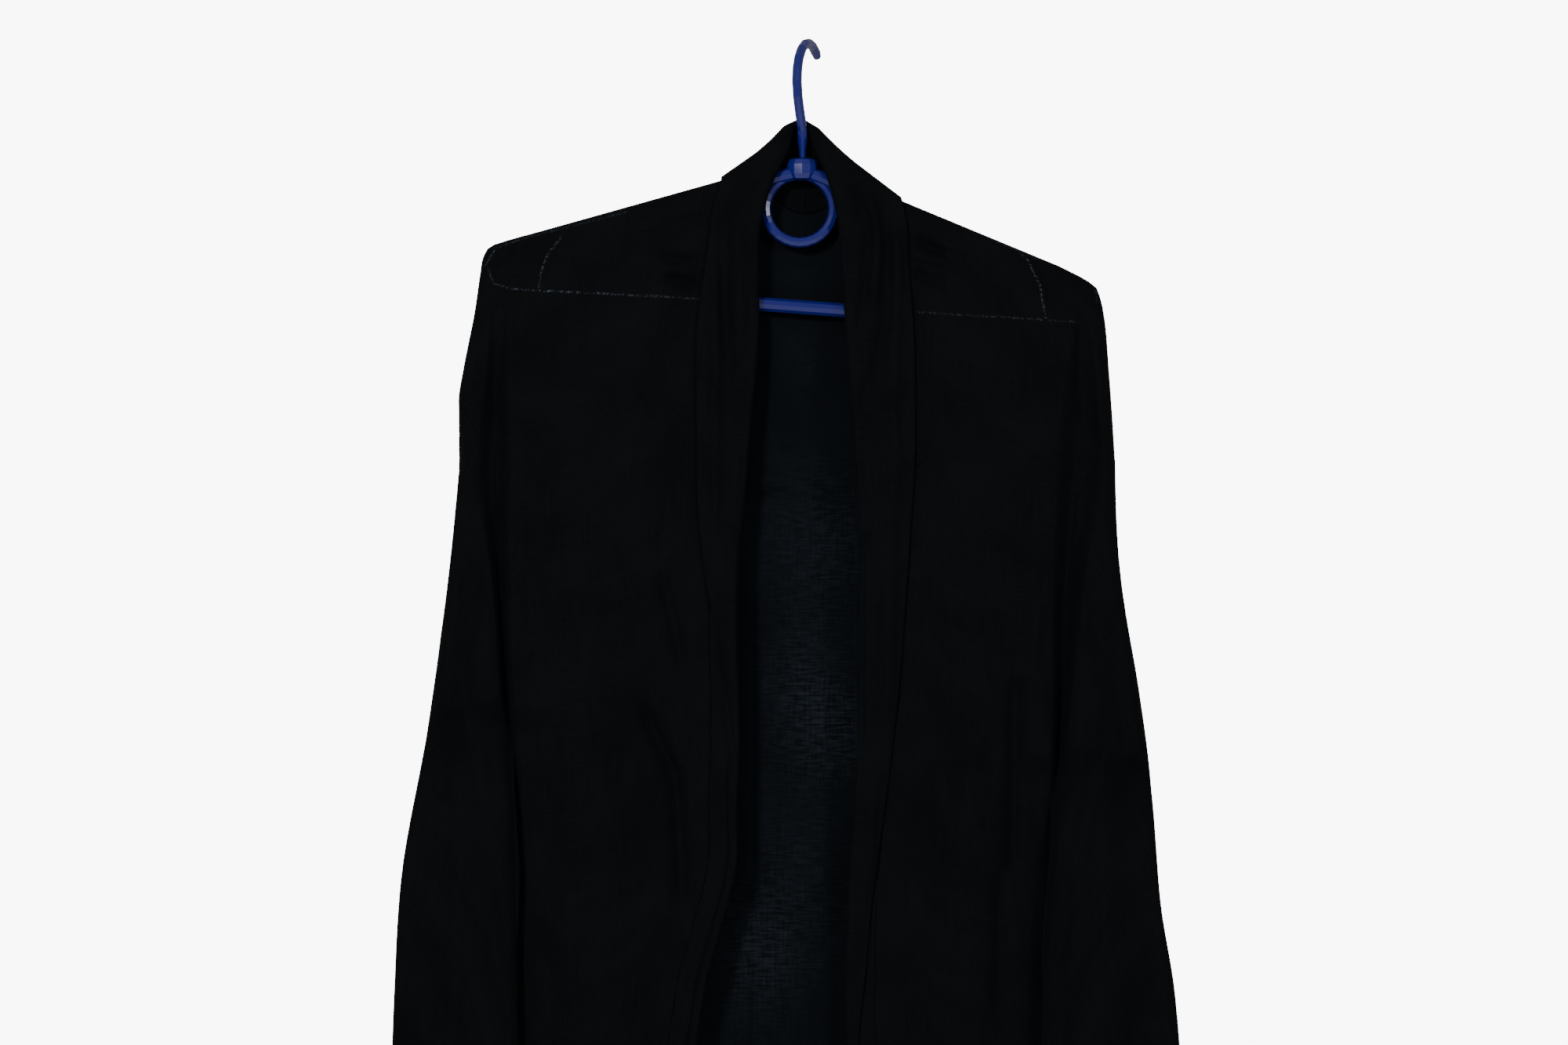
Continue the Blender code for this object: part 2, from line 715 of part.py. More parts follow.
def tube(name, points, radius, home, cyclic=False, radii=None, resolution=3):
    """A closed mesh swept along the points."""
    curve = bpy.data.curves.new(name + "_path", "CURVE")
    curve.dimensions = "3D"
    curve.bevel_depth = radius * MM
    curve.bevel_resolution = resolution
    curve.use_fill_caps = not cyclic
    spline = curve.splines.new("POLY")
    spline.points.add(len(points) - 1)
    spline.use_cyclic_u = cyclic
    for i, place in enumerate(to_world(points)):
        spline.points[i].co = (*place, 1)
        spline.points[i].radius = 1.0 if radii is None else radii[i]
    source = bpy.data.objects.new(name + "_path", curve)
    home.objects.link(source)
    bpy.context.view_layer.update()
    mesh = bpy.data.meshes.new_from_object(source.evaluated_get(bpy.context.evaluated_depsgraph_get()))
    bpy.data.objects.remove(source)
    mesh.shade_smooth()
    made = bpy.data.objects.new(name, mesh)
    home.objects.link(made)
    return made


def flowing(points, steps, cyclic=False):
    """More points along a smooth curve through these."""
    points = np.asarray(points, float)
    count = len(points)
    found = []
    for i in range(count if cyclic else count - 1):
        if cyclic:
            a, b, c, d = (points[(i + k) % count] for k in (-1, 0, 1, 2))
        else:
            a, b = points[max(i - 1, 0)], points[i]
            c, d = points[i + 1], points[min(i + 2, count - 1)]
        for t in np.arange(steps) / steps:
            found.append(
                0.5 * (2 * b + (c - a) * t + (2 * a - 5 * b + 4 * c - d) * t**2 + (3 * b - a - 3 * c + d) * t**3)
            )
    if not cyclic:
        found.append(points[-1])
    return np.array(found)


RIGHT_ARM = table(
    "x drop",
    (-6.0, 83.5),
    (-60, 97.0),
    (-183, 131.2),
    (-197, 134.8),
    (-205, 138.0),
    (-209.4, 143.0),
    (-210.2, 149.0),
    (-207.4, 154.6),
    (-202, 157.6),
    (-195, 158.9),
)
BAR = table("x drop", (-194.1, 158.97), (-120, 164.6), (-33, 171.1), (60, 178.1), (167.1, 186.14))
LEFT_ARM = table(
    "x drop",
    (168, 186.2),
    (176, 186.0),
    (182.4, 183.2),
    (186.4, 178.0),
    (187.0, 171.5),
    (183.4, 165.0),
    (176, 159.4),
    (165, 153.4),
    (60, 109.0),
    (-3.0, 83.0),
)
RIGHT_ARC = table("x drop", (-140, 119.0), (-156, 125.5), (-168, 134.0), (-176, 145.0), (-179, 160.0))
LEFT_ARC = table("x drop", (130, 138.6), (143, 147.0), (151.6, 158.0), (156.4, 171.0), (157, 185.4))
HOOK = table(
    "along drop scale",
    (-14.0, 74.0, 0.66),
    (-14.0, 69.0, 0.7),
    (-14.0, 62.0, 1.0),
    (-14.5, 56.0, 1.0),
    (-17.0, 50.0, 1.0),
    (-20.5, 43.0, 1.0),
    (-24.2, 34.0, 1.0),
    (-26.0, 24.0, 1.0),
    (-25.0, 15.5, 1.0),
    (-21.5, 8.2, 1.0),
    (-15.5, 1.9, 1.0),
    (-8.0, -2.0, 1.0),
    (0.0, -3.25, 1.0),
    (8.0, -2.0, 1.0),
    (15.0, 1.5, 1.0),
    (18.4, 4.2, 0.8),
)


def flat_path(rows):
    return np.stack([rows["x"], np.zeros(len(rows["x"])), rows["drop"]], axis=1)


def cut(target, helper):
    helper.hide_render = True
    helper.display_type = "WIRE"
    made = target.modifiers.new("Cut " + helper.name, "BOOLEAN")
    made.operation = "DIFFERENCE"
    made.solver = "EXACT"
    made.object = helper


def boss(name, home, spare):
    """The moulded block that the hook stands in, grown by spare for use as a cutter."""
    half = BOSS_HEIGHT / 2 + spare
    x, drop = BOSS_CENTRE
    outline = ((0.55, -1.0), (0.86, -0.86), (1.0, -0.45), (1.0, 0.45), (0.8, 0.86), (0.42, 1.0))
    places = [(x, 0.0, drop + half * h) for _, h in outline]
    scales = [r for r, _ in outline]
    made = tube(name, places, BOSS_RADIUS + spare, home, radii=scales, resolution=4)
    middle = Matrix.Translation((0, HANGER_Y * MM, 0))
    flatten = Matrix.Scale(BOSS_FLATNESS, 4, (0, 1, 0))
    made.data.transform(middle @ flatten @ middle.inverted())
    return made


def build_hanger(home, helpers, paint):
    turns = np.linspace(0, 2 * math.pi, 28, endpoint=False)
    ring = np.stack(
        [
            RING_CENTRE[0] + RING_RADIUS * np.sin(turns),
            np.zeros(len(turns)),
            RING_CENTRE[1] - RING_RADIUS * np.cos(turns),
        ],
        axis=1,
    )
    wide = TUBE_RADIUS + SEAM_GAP
    paths = {"right": flat_path(RIGHT_ARM), "bar": flat_path(BAR), "left": flat_path(LEFT_ARM)}
    cutters = {name: tube("cut_" + name, path, wide, helpers) for name, path in paths.items()}
    boss_cutter = boss("cut_boss", helpers, SEAM_GAP)
    made = [
        boss("hanger_boss", home, 0.0),
        tube("hanger_bar", paths["bar"], TUBE_RADIUS, home),
        tube("hanger_ring", ring, RING_TUBE, home, cyclic=True, resolution=2),
    ]
    for cutter in (boss_cutter, cutters["right"], cutters["left"]):
        cut(made[-1], cutter)
    arcs = {"right": RIGHT_ARC, "left": LEFT_ARC}
    for name, rows in arcs.items():
        arm = tube("hanger_arm_" + name, paths[name], TUBE_RADIUS, home)
        cut(arm, boss_cutter)
        arc = tube("hanger_arc_" + name, flowing(flat_path(rows), 2), ARC_RADIUS, home, resolution=2)
        cut(arc, cutters[name])
        cut(arc, cutters["bar"])
        made += [arm, arc]
    for thing in made:
        thing.data.materials.append(paint)
    turned = np.stack(
        [
            HOOK["along"] * math.cos(HOOK_TURN),
            HOOK["along"] * math.sin(HOOK_TURN) - HANGER_Y,
            HOOK["drop"],
        ],
        axis=1,
    )
    hook = tube("hook", turned, HOOK_WIRE, home, radii=HOOK["scale"].tolist(), resolution=3)
    hook.data.materials.append(paint)


def main():
    for thing in list(bpy.data.objects):
        bpy.data.objects.remove(thing)
    home = fresh_collection("wrap_cardigan")
    helpers = fresh_collection("cutters")
    helpers.hide_render = True
    jersey = material("Black jersey", (0.006, 0.007, 0.009), 0.9)
    plastic = material("Blue plastic", (0.012, 0.02, 0.12), 0.35)
    for name, side in SIDES.items():
        left = name == "left"
        cloth("front_" + name, front_grid(side), CLOTH_WALL, jersey, home, flip=left)
        cloth("sleeve_" + name, sleeve_grid(side), CLOTH_WALL, jersey, home, ring=True, flip=left)
        cloth("collar_" + name, collar_grid(side), COLLAR_WALL, jersey, home, flip=left)
    cloth("back", back_grid(), CLOTH_WALL, jersey, home)
    build_hanger(home, helpers, plastic)


main()
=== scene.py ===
"""Dresses the cardigan and its hanger in cloth, plastic and light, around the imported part.

Tables and sizes are in millimetres. A drop is the distance below the rail that the hook hangs on.
"Right" and "left" are the wearer's, so the right front is at -X. The front faces -Y.
"""
import math

import bpy
import numpy as np
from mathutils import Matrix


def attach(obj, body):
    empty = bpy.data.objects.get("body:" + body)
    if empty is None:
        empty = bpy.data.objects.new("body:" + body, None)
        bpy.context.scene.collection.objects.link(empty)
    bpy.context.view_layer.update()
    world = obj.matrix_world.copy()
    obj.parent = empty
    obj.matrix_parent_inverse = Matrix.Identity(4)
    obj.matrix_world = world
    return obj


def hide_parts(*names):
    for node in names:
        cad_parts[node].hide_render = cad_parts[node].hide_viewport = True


bl_info = {
    "name": "Wrap cardigan on a hanger",
    "version": (1, 0, 0),
    "blender": (4, 5, 0),
    "location": "View3D > Sidebar > Cardigan",
    "description": "Builds the jersey, hanger finish and studio of an open cardigan",
    "category": "Object",
}

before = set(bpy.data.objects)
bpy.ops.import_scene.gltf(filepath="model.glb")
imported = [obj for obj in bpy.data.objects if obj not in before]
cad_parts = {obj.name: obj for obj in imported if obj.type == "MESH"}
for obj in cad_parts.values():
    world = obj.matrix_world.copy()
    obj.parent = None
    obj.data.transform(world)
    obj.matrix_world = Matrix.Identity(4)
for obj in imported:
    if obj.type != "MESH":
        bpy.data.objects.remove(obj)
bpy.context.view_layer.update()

MM = 0.001
SEAM_GAP = -0.1
FOLD_SEAM = 0.36
LAYER_STEP = 2.3

HANGER_Y = -13.3
WRAP_RADIUS = 6.3

HEM_DROP = 848.0
CUFF_DROP = 751.0
CENTRE_BACK_SEAM = -1.6
OUTER_FOLD = 9.0
SIDE_FOLD = 7.0

NICK_ROW = 8
UNDERARM_ROW = 17
HEM_ROW = 26
SLEEVE_ROWS = 15
NECK_STEPS = 6


def table(names, *rows):
    """A short table as one array for each named column."""
    return {
        name: np.array(values, float)
        for name, values in zip(names.split(), zip(*rows))
    }


HEM_BAND = 20.0
HEM_STEP = 0.45

# How many rows and columns each step of a panel's own grid is split into.
PANEL_DOWN = 12
BACK_DOWN = 8
PANEL_ACROSS = 6
SLEEVE_DOWN = 10
SLEEVE_ACROSS = 4
COLLAR_DOWN = 9
COLLAR_ACROSS = 7

# The sleeve's inner side is let in under the arm, so that no light shows between it and the body.
UNDERARM_TUCK = 3.4
TUCK_BELOW = 50.0
TUCK_REACH = 75.0

# The collar's folds are this much deeper than their table says, and go in no further than this.
COLLAR_FOLD_DEPTH = 1.3
COLLAR_FOLD_LIMIT = 2.1

# A painted glint over a hanger mark fades over this distance from its line. Cloth with no painted glint
# counts as this far off.
GLINT_REACH = 3.0
NO_GLINT = 9.0

# Pitches in mm. Real wales are 0.5 mm apart, and are drawn wider so that they show at all.
WALE_PITCH = 1.1
COURSE_PITCH = 1.4

# Each piece's flat width and length in metres, then the area of its cloth in square metres.
BACK_CUT = ((0.465, 0.768), 0.288)
FRONT_CUT = {"right": ((0.193, 0.773), 0.103), "left": ((0.179, 0.763), 0.0965)}
SLEEVE_CUT = {"right": ((0.4, 0.521), 0.071), "left": ((0.4, 0.481), 0.071)}
COLLAR_CUT = {"right": ((0.08, 0.847), 0.0335), "left": ((0.085, 0.83), 0.039)}

VIEW_WIDTH = 1040.0
VIEW_CENTRE_X = -16.6
VIEW_CENTRE_DROP = 316.0

DEPTH = table(
    "drop front back",
    (70, 6.6, 6.6),
    (150, 8.0, 7.6),
    (220, 10.5, 9.5),
    (330, 13.0, 12.0),
    (500, 14.0, 13.5),
    (700, 15.5, 15.0),
    (848, 17.0, 16.0),
)

RIGHT_SHOULDER = table(
    "x drop",
    (-213.0, 134.8),
    (-208.5, 132.0),
    (-202.0, 129.9),
    (-190.0, 126.4),
    (-183.0, 124.6),
    (-39.0, 84.2),
    (-6.2, 75.1),
)
LEFT_SHOULDER = table(
    "x drop",
    (-6.2, 75.1),
    (31.0, 90.5),
    (165.0, 146.0),
    (178.0, 152.4),
    (185.0, 156.4),
    (190.5, 160.8),
)

RIGHT_OUTLINE = table(
    "drop x",
    (134.8, -213.0),
    (141, -216.0),
    (149, -217.4),
    (177, -221.5),
    (214, -228.8),
    (236, -232.0),
    (269, -230.5),
    (307, -236.1),
    (382, -242.8),
    (470, -255.3),
    (549, -268.8),
    (627, -273.5),
    (751, -277.0),
)
LEFT_OUTLINE = table(
    "drop x",
    (160.8, 190.5),
    (166, 192.4),
    (177, 195.0),
    (219, 198.8),
    (250, 201.0),
    (276, 202.6),
    (332, 207.0),
    (390, 213.2),
    (477, 225.2),
    (569, 232.0),
    (625, 240.8),
    (751, 249.0),
)

RIGHT_VALLEY = table(
    "drop x half floor",
    (150, -204.0, 3.5, 8.0),
    (200, -206.0, 5.0, 6.5),
    (275, -208.3, 7.5, 3.2),
    (310, -207.5, 6.0, 2.6),
    (351, -204.0, 4.2, 2.4),
    (458, -198.5, 3.0, 2.4),
)
LEFT_VALLEY = table(
    "drop x half floor",
    (176, 181.0, 3.0, 8.0),
    (215, 181.0, 6.5, 6.0),
    (262, 180.5, 11.0, 3.6),
    (300, 177.5, 9.5, 2.8),
    (350, 172.5, 7.5, 2.4),
    (435, 167.0, 4.4, 2.4),
    (490, 164.0, 3.0, 2.4),
)

RIGHT_SIDE_SEAM = table(
    "drop x",
    (430, -199.0),
    (458, -197.2),
    (485, -196.6),
    (520, -197.0),
    (600, -198.0),
    (848, -200.0),
)
LEFT_SIDE_SEAM = table(
    "drop x",
    (460, 164.4),
    (490, 162.1),
    (515, 161.6),
    (560, 161.2),
    (640, 163.0),
    (848, 168.0),
)

RIGHT_SLEEVE = table(
    "drop inner centre half",
    (236, -207.0, 0.0, 9.5),
    (275, -208.3, 0.0, 9.5),
    (351, -204.0, 0.0, 9.0),
    (458, -199.0, 0.0, 8.5),
    (468, -198.4, -3.5, 8.2),
    (480, -197.6, -8.0, 8.0),
    (500, -196.2, -12.0, 7.5),
    (530, -195.2, -13.2, 7.5),
    (560, -194.5, -13.5, 7.5),
    (627, -192.9, -15.0, 7.5),
    (751, -190.0, -15.5, 7.5),
)
LEFT_SLEEVE = table(
    "drop inner centre half",
    (250, 180.5, 0.0, 9.0),
    (276, 179.0, 0.0, 9.0),
    (350, 172.5, 0.0, 9.0),
    (435, 167.0, 0.0, 8.5),
    (490, 163.9, 0.0, 8.0),
    (500, 163.2, -3.5, 7.8),
    (512, 162.4, -8.0, 7.5),
    (530, 161.4, -12.0, 7.5),
    (560, 160.0, -13.5, 7.5),
    (600, 156.5, -15.0, 7.5),
    (660, 154.0, -16.5, 7.5),
    (751, 152.0, -17.0, 7.5),
)

RIGHT_ROLL = table(
    "drop roll edge bend",
    (60, -12.8, -58.0, 4.2),
    (74, -13.8, -58.0, 4.1),
    (84.2, -15.8, -58.0, 4.0),
    (97, -22.5, -61.5, 3.6),
    (110, -30.2, -64.6, 3.3),
    (120, -32.4, -65.6, 3.1),
    (141, -33.6, -68.2, 2.8),
    (164, -33.4, -71.8, 2.6),
    (198, -34.0, -74.4, 2.4),
    (266, -40.0, -74.2, 2.2),
    (308, -43.2, -73.3, 2.1),
    (348, -46.8, -68.8, 2.0),
    (381, -47.2, -63.6, 1.9),
    (414, -46.8, -58.6, 1.8),
    (460, -46.5, -54.0, 1.8),
    (503, -47.8, -53.2, 1.8),
    (532, -47.5, -52.6, 1.8),
    (559, -51.6, -56.6, 1.8),
    (586, -59.4, -64.4, 1.8),
    (626, -69.6, -74.6, 1.8),
    (700, -78.0, -83.0, 1.8),
    (848, -84.0, -89.0, 1.8),
)
LEFT_ROLL = table(
    "drop roll edge bend",
    (62, 3.2, 61.0, 4.2),
    (74, 5.0, 61.0, 4.1),
    (83, 7.8, 61.0, 4.0),
    (90.5, 12.4, 61.0, 4.0),
    (97, 16.6, 62.6, 3.8),
    (110, 19.6, 65.0, 3.6),
    (137, 20.8, 66.0, 3.0),
    (163, 22.6, 67.8, 2.6),
    (203, 25.4, 69.8, 2.4),
    (260, 29.8, 70.2, 2.2),
    (325, 33.6, 66.6, 2.1),
    (380, 34.4, 62.8, 2.0),
    (414, 34.0, 60.2, 1.9),
    (492, 30.8, 51.4, 1.8),
    (559, 26.2, 42.2, 1.8),
    (615, 24.4, 36.8, 1.8),
    (660, 25.0, 32.4, 1.8),
    (720, 28.0, 33.4, 1.8),
    (848, 34.0, 39.2, 1.8),
)

RIGHT_STAND = table("drop width", (84.2, 23.2), (97, 21.5), (110, 18.4), (120, 18.2), (848, 18.5))
LEFT_STAND = table("drop width", (90.5, 18.6), (110, 18.8), (137, 18.5), (848, 18.5))

RIGHT_NECK = table(
    "step sx sy sd rx ry rd ex ey ed nx ny nd bend",
    (0, -1.9, 13.6, 111.0, -5.8, 11.0, 47.6, -1.9, 19.0, 119.0, 0.00, 1.00, 0.00, 3.0),
    (1, -11.0, 13.4, 109.0, -7.4, 9.8, 48.2, -15.0, 19.2, 118.0, -0.15, 0.98, -0.05, 3.2),
    (2, -20.0, 12.8, 103.5, -9.4, 7.8, 49.4, -29.0, 18.6, 114.5, -0.35, 0.90, -0.20, 3.5),
    (3, -28.5, 11.0, 96.0, -11.0, 5.0, 51.0, -42.0, 15.0, 107.0, -0.62, 0.68, -0.38, 3.8),
    (4, -34.0, 7.6, 90.0, -12.2, 1.8, 53.2, -50.5, 9.3, 94.5, -0.68, 0.40, -0.60, 4.0),
    (5, -37.5, 4.6, 85.8, -12.8, -1.8, 56.4, -54.6, 6.4, 88.6, -0.66, 0.20, -0.72, 4.1),
    (6, -39.0, 0.0, 84.2, -13.0, -5.2, 61.0, -58.0, -0.2, 87.0, -0.58, 0.00, -0.81, 4.2),
)
LEFT_NECK = table(
    "step sx sy sd rx ry rd ex ey ed nx ny nd bend",
    (0, -1.3, 13.6, 111.0, -4.5, 11.0, 47.6, -1.3, 19.0, 119.0, 0.00, 1.00, 0.00, 3.0),
    (1, 6.0, 13.4, 109.5, -3.2, 9.8, 48.4, 12.0, 19.2, 120.0, 0.15, 0.98, -0.05, 3.2),
    (2, 13.0, 12.8, 105.5, -1.2, 7.8, 49.8, 27.0, 18.6, 119.0, 0.35, 0.90, -0.20, 3.5),
    (3, 20.0, 11.0, 99.5, 0.6, 5.0, 52.0, 42.0, 15.0, 115.0, 0.62, 0.68, -0.38, 3.8),
    (4, 25.4, 7.6, 95.0, 2.0, 1.8, 54.8, 52.0, 9.3, 105.6, 0.66, 0.40, -0.63, 4.0),
    (5, 29.4, 4.6, 91.6, 2.8, -1.8, 58.4, 57.2, 6.4, 101.2, 0.62, 0.20, -0.74, 4.1),
    (6, 31.0, 0.0, 90.5, 3.4, -5.2, 63.0, 61.0, -0.2, 100.6, 0.54, 0.00, -0.84, 4.2),
)

FRONT_FOLDS = table(
    "x0 d0 x1 d1 width height",
    (-110, 425, -84, 500, 9, -2.2),
    (-85, 500, -80, 600, 9, -2.4),
    (-97, 345, -82, 415, 8, -1.4),
    (-150, 300, -152, 848, 26, 2.2),
    (-118, 520, -112, 848, 16, 2.6),
    (-176, 420, -172, 848, 12, -2.0),
    (136, 400, 134, 560, 10, -1.6),
    (126, 540, 124, 700, 11, -2.0),
    (100, 300, 98, 848, 24, 2.0),
    (146, 560, 146, 848, 10, 1.8),
    (66, 600, 64, 848, 14, -2.2),
    (-190, 190, -194, 470, 9, 2.4),
    (156, 200, 152, 520, 9, 2.4),
)
BACK_FOLDS = table(
    "x0 d0 x1 d1 width height",
    (-150, 260, -148, 848, 20, 3.0),
    (-95, 330, -90, 848, 15, -2.6),
    (-40, 300, -44, 848, 22, 2.8),
    (12, 360, 10, 848, 14, -2.4),
    (55, 280, 60, 848, 20, 3.2),
    (110, 380, 106, 848, 14, -2.8),
    (150, 420, 150, 848, 12, 2.0),
    (-190, 190, -194, 470, 9, 2.0),
    (156, 200, 152, 520, 9, 2.0),
)
SLEEVE_FOLDS = table(
    "x0 d0 x1 d1 width height",
    (-222, 300, -236, 751, 7, 1.6),
    (-246, 440, -258, 751, 7, -1.4),
    (-214, 470, -212, 751, 6, -1.2),
    (192, 330, 204, 751, 7, 1.6),
    (212, 450, 226, 751, 7, -1.4),
    (178, 520, 172, 751, 6, -1.2),
)

SIDES = {
    "right": {
        "sign": -1,
        "shoulder": RIGHT_SHOULDER,
        "outline": RIGHT_OUTLINE,
        "valley": RIGHT_VALLEY,
        "side": RIGHT_SIDE_SEAM,
        "sleeve": RIGHT_SLEEVE,
        "roll": RIGHT_ROLL,
        "stand": RIGHT_STAND,
        "neck": RIGHT_NECK,
        "tip": (-213.0, 134.8),
        "neck_point": (-39.0, 84.2),
        "nick": 236.0,
        "recess": 275.0,
        "underarm": 458.0,
    },
    "left": {
        "sign": 1,
        "shoulder": LEFT_SHOULDER,
        "outline": LEFT_OUTLINE,
        "valley": LEFT_VALLEY,
        "side": LEFT_SIDE_SEAM,
        "sleeve": LEFT_SLEEVE,
        "roll": LEFT_ROLL,
        "stand": LEFT_STAND,
        "neck": LEFT_NECK,
        "tip": (190.5, 160.8),
        "neck_point": (31.0, 90.5),
        "nick": 276.0,
        "recess": 300.0,
        "underarm": 490.0,
    },
}

# Runs where the hanger's tubes press the cloth. Each raises a ridge, and on the fronts it also places a
# painted highlight of dotted glints.
PRESS = table(
    "x0 d0 x1 d1 width height",
    (-214, 146, -207.5, 134.6, 2.6, 0.5),
    (-207.5, 134.6, -188, 128, 2.4, 0.28),
    (-188, 128, -120, 110.5, 2.4, 0.25),
    (-212, 148, -208.7, 157.8, 2.8, 0.39),
    (-208.7, 157.8, -198, 161.4, 2.8, 0.44),
    (-198, 161.4, -179.6, 162.6, 2.8, 0.5),
    (-179.6, 162.6, -89, 167, 2.8, 0.61),
    (-89, 167, -72, 168.4, 3, 0.33),
    (-179, 160, -176.9, 149.2, 2.6, 0.66),
    (-176.9, 149.2, -173.6, 139.9, 2.6, 0.66),
    (-173.6, 139.9, -164, 127.5, 2.8, 0.55),
    (138, 137, 144, 141.7, 2.6, 0.34),
    (144, 141.7, 152.8, 159.4, 2.6, 0.66),
    (152.8, 159.4, 156, 180.5, 2.6, 0.72),
    (72, 177, 156, 182, 2.8, 0.27),
    (156, 182, 178, 183.6, 2.8, 0.24),
    (120, 129, 152, 142, 2.4, 0.17),
    (180, 152.5, 189, 159.4, 2.6, 0.31),
    (189, 159.4, 190.5, 171, 2.6, 0.31),
)
# Patches painted paler on the back, as painted light that stands in for light through the thin cloth.
BACKLIGHT_PATCHES = table(
    "x drop wide tall amount",
    (18, 452, 22, 34, 0.45),
    (-8, 430, 24, 44, 0.3),
    (-34, 604, 22, 36, 0.4),
    (-8, 560, 34, 60, 0.2),
    (10, 330, 40, 46, 0.25),
)
CREASES = table(
    "x0 d0 x1 d1 width height",
    (-97, 141, -70, 144, 3.4, -2.4),
    (-96, 148, -72, 149, 3.0, 1.8),
    (-96, 153, -70, 161, 3.4, -2.6),
    (-88, 116, -68, 115, 3.0, -1.4),
    (68, 128, 90, 138, 3.4, -2.4),
    (66, 138, 92, 145, 3.0, 1.8),
    (68, 149, 88, 159, 3.4, -2.2),
    (-110, 438, -88, 484, 5.0, -3.4),
    (-88, 484, -84, 570, 5.5, -3.2),
    (-97, 350, -84, 408, 4.5, -2.2),
    (-124, 335, -118, 366, 4.0, -0.8),
    (-150, 250, -140, 420, 9.0, 0.8),
    (-170, 330, -166, 520, 7.0, -0.9),
    (-128, 560, -122, 760, 7.0, 1.2),
    (-104, 620, -100, 848, 6.0, -1.2),
    (-178, 600, -180, 848, 7.0, 1.0),
    (136, 419, 134, 548, 5.0, -2.6),
    (126, 548, 125, 640, 5.0, -2.2),
    (112, 330, 108, 520, 8.0, 0.8),
    (88, 420, 84, 640, 7.0, -0.8),
    (148, 330, 146, 470, 5.0, 0.9),
    (104, 640, 100, 848, 7.0, -1.2),
    (58, 660, 56, 848, 7.0, 1.0),
    (-216, 178, -221, 235, 3.4, -1.0),
    (-207, 200, -209, 262, 3.4, -1.2),
    (-197, 176, -199, 270, 3.4, 1.0),
    (178, 186, 182, 250, 3.6, -1.0),
    (191, 190, 193, 262, 3.2, 0.9),
)
SLEEVE_CREASES = table(
    "x0 d0 x1 d1 width height",
    (-228, 262, -222, 300, 3.4, 1.3),
    (-246, 422, -243, 480, 4.0, 1.2),
    (-243, 480, -242, 552, 4.0, 1.1),
    (-226, 330, -232, 470, 4.6, -1.1),
    (-214, 380, -216, 600, 4.6, 0.9),
    (-262, 520, -264, 740, 4.4, -1.0),
    (-206, 560, -205, 740, 4.6, -0.9),
    (-232, 600, -238, 751, 5.0, 1.0),
    (194, 300, 200, 380, 3.6, 1.0),
    (200, 380, 212, 500, 4.4, -1.1),
    (190, 430, 196, 620, 4.6, 1.0),
    (222, 500, 232, 740, 4.4, -1.0),
    (176, 540, 172, 740, 4.6, -0.9),
    (204, 600, 212, 751, 5.0, 1.0),
)
COLLAR_CREASES = table(
    "x0 d0 x1 d1 width height",
    (-57, 96, -56, 125, 3.4, -1.2),
    (-56, 125, -56, 163, 3.2, -2.2),
    (-56, 163, -54.6, 202, 3.2, -2.2),
    (-54.6, 202, -42, 232, 3.2, -2.0),
    (-47, 120, -46, 190, 5.0, 1.6),
    (-62, 150, -62, 330, 4.0, 1.4),
    (-64.8, 375, -59, 415, 2.8, -2.0),
    (-59, 415, -54.8, 445, 2.8, -2.2),
    (-54.8, 445, -48, 485, 2.8, -2.0),
    (-50, 300, -52, 420, 5.0, 1.3),
    (32, 92, 36, 112, 3.0, -2.0),
    (40, 125, 37, 157, 2.8, -2.2),
    (37, 157, 33, 190, 2.8, -1.4),
    (38, 98, 45, 122, 3.0, 1.6),
    (45, 122, 43, 172, 3.4, 1.8),
    (50, 106, 52, 141, 3.0, -2.0),
    (52, 141, 50.6, 186, 3.2, -2.6),
    (50.6, 186, 43, 217, 3.2, -2.6),
    (43, 217, 34, 240, 3.2, -2.2),
    (58, 125, 58, 163, 3.6, 2.2),
    (57, 163, 56, 300, 4.4, 1.2),
    (40, 320, 40, 470, 4.4, -1.5),
    (54, 310, 52, 440, 5.0, 1.4),
    (44, 480, 38, 560, 4.0, 1.2),
)
BACK_CREASES = table(
    "x0 d0 x1 d1 width height",
    (-48, 293.5, 42, 301.5, 2.6, -2.6),
    (-48, 287, 42, 294.5, 3.0, 1.6),
    (-29, 267.5, -12, 268.5, 2.4, -1.6),
    (-20, 330, -24, 560, 6.0, -0.9),
    (8, 420, 12, 700, 7.0, 1.0),
    (-120, 380, -116, 800, 8.0, 1.0),
    (84, 330, 86, 760, 8.0, -1.0),
    (140, 300, 136, 700, 7.0, 0.9),
    (-176, 250, -170, 640, 7.0, -0.9),
)
RIPPLES = table(
    "across down phase height",
    (0.021, 0.013, 0.4, 0.26),
    (-0.034, 0.011, 1.9, 0.20),
    (0.058, -0.019, 3.1, 0.14),
    (0.011, 0.031, 4.4, 0.22),
    (-0.089, 0.023, 0.9, 0.09),
    (0.043, 0.047, 2.6, 0.11),
)


def smooth(t):
    """0 to 1 with flat ends."""
    t = np.clip(t, 0.0, 1.0)
    return t * t * (3 - 2 * t)


def through(xs, ys, at):
    """A smooth curve through the points that never overshoots them."""
    steps = np.diff(xs)
    slopes = np.diff(ys) / steps
    tangents = np.concatenate([slopes[:1], (slopes[1:] + slopes[:-1]) / 2, slopes[-1:]])
    flat = slopes[1:] * slopes[:-1] <= 0
    tangents[1:-1][flat] = 0
    for i, slope in enumerate(slopes):
        limit = 3 * abs(slope)
        tangents[i] = np.clip(tangents[i], -limit, limit)
        tangents[i + 1] = np.clip(tangents[i + 1], -limit, limit)
    at = np.clip(at, xs[0], xs[-1])
    i = np.clip(np.searchsorted(xs, at, side="right") - 1, 0, len(steps) - 1)
    t = (at - xs[i]) / steps[i]
    return (
        ys[i] * (1 + 2 * t) * (1 - t) ** 2
        + ys[i + 1] * t * t * (3 - 2 * t)
        + steps[i] * t * (1 - t) * (tangents[i] * (1 - t) - tangents[i + 1] * t)
    )


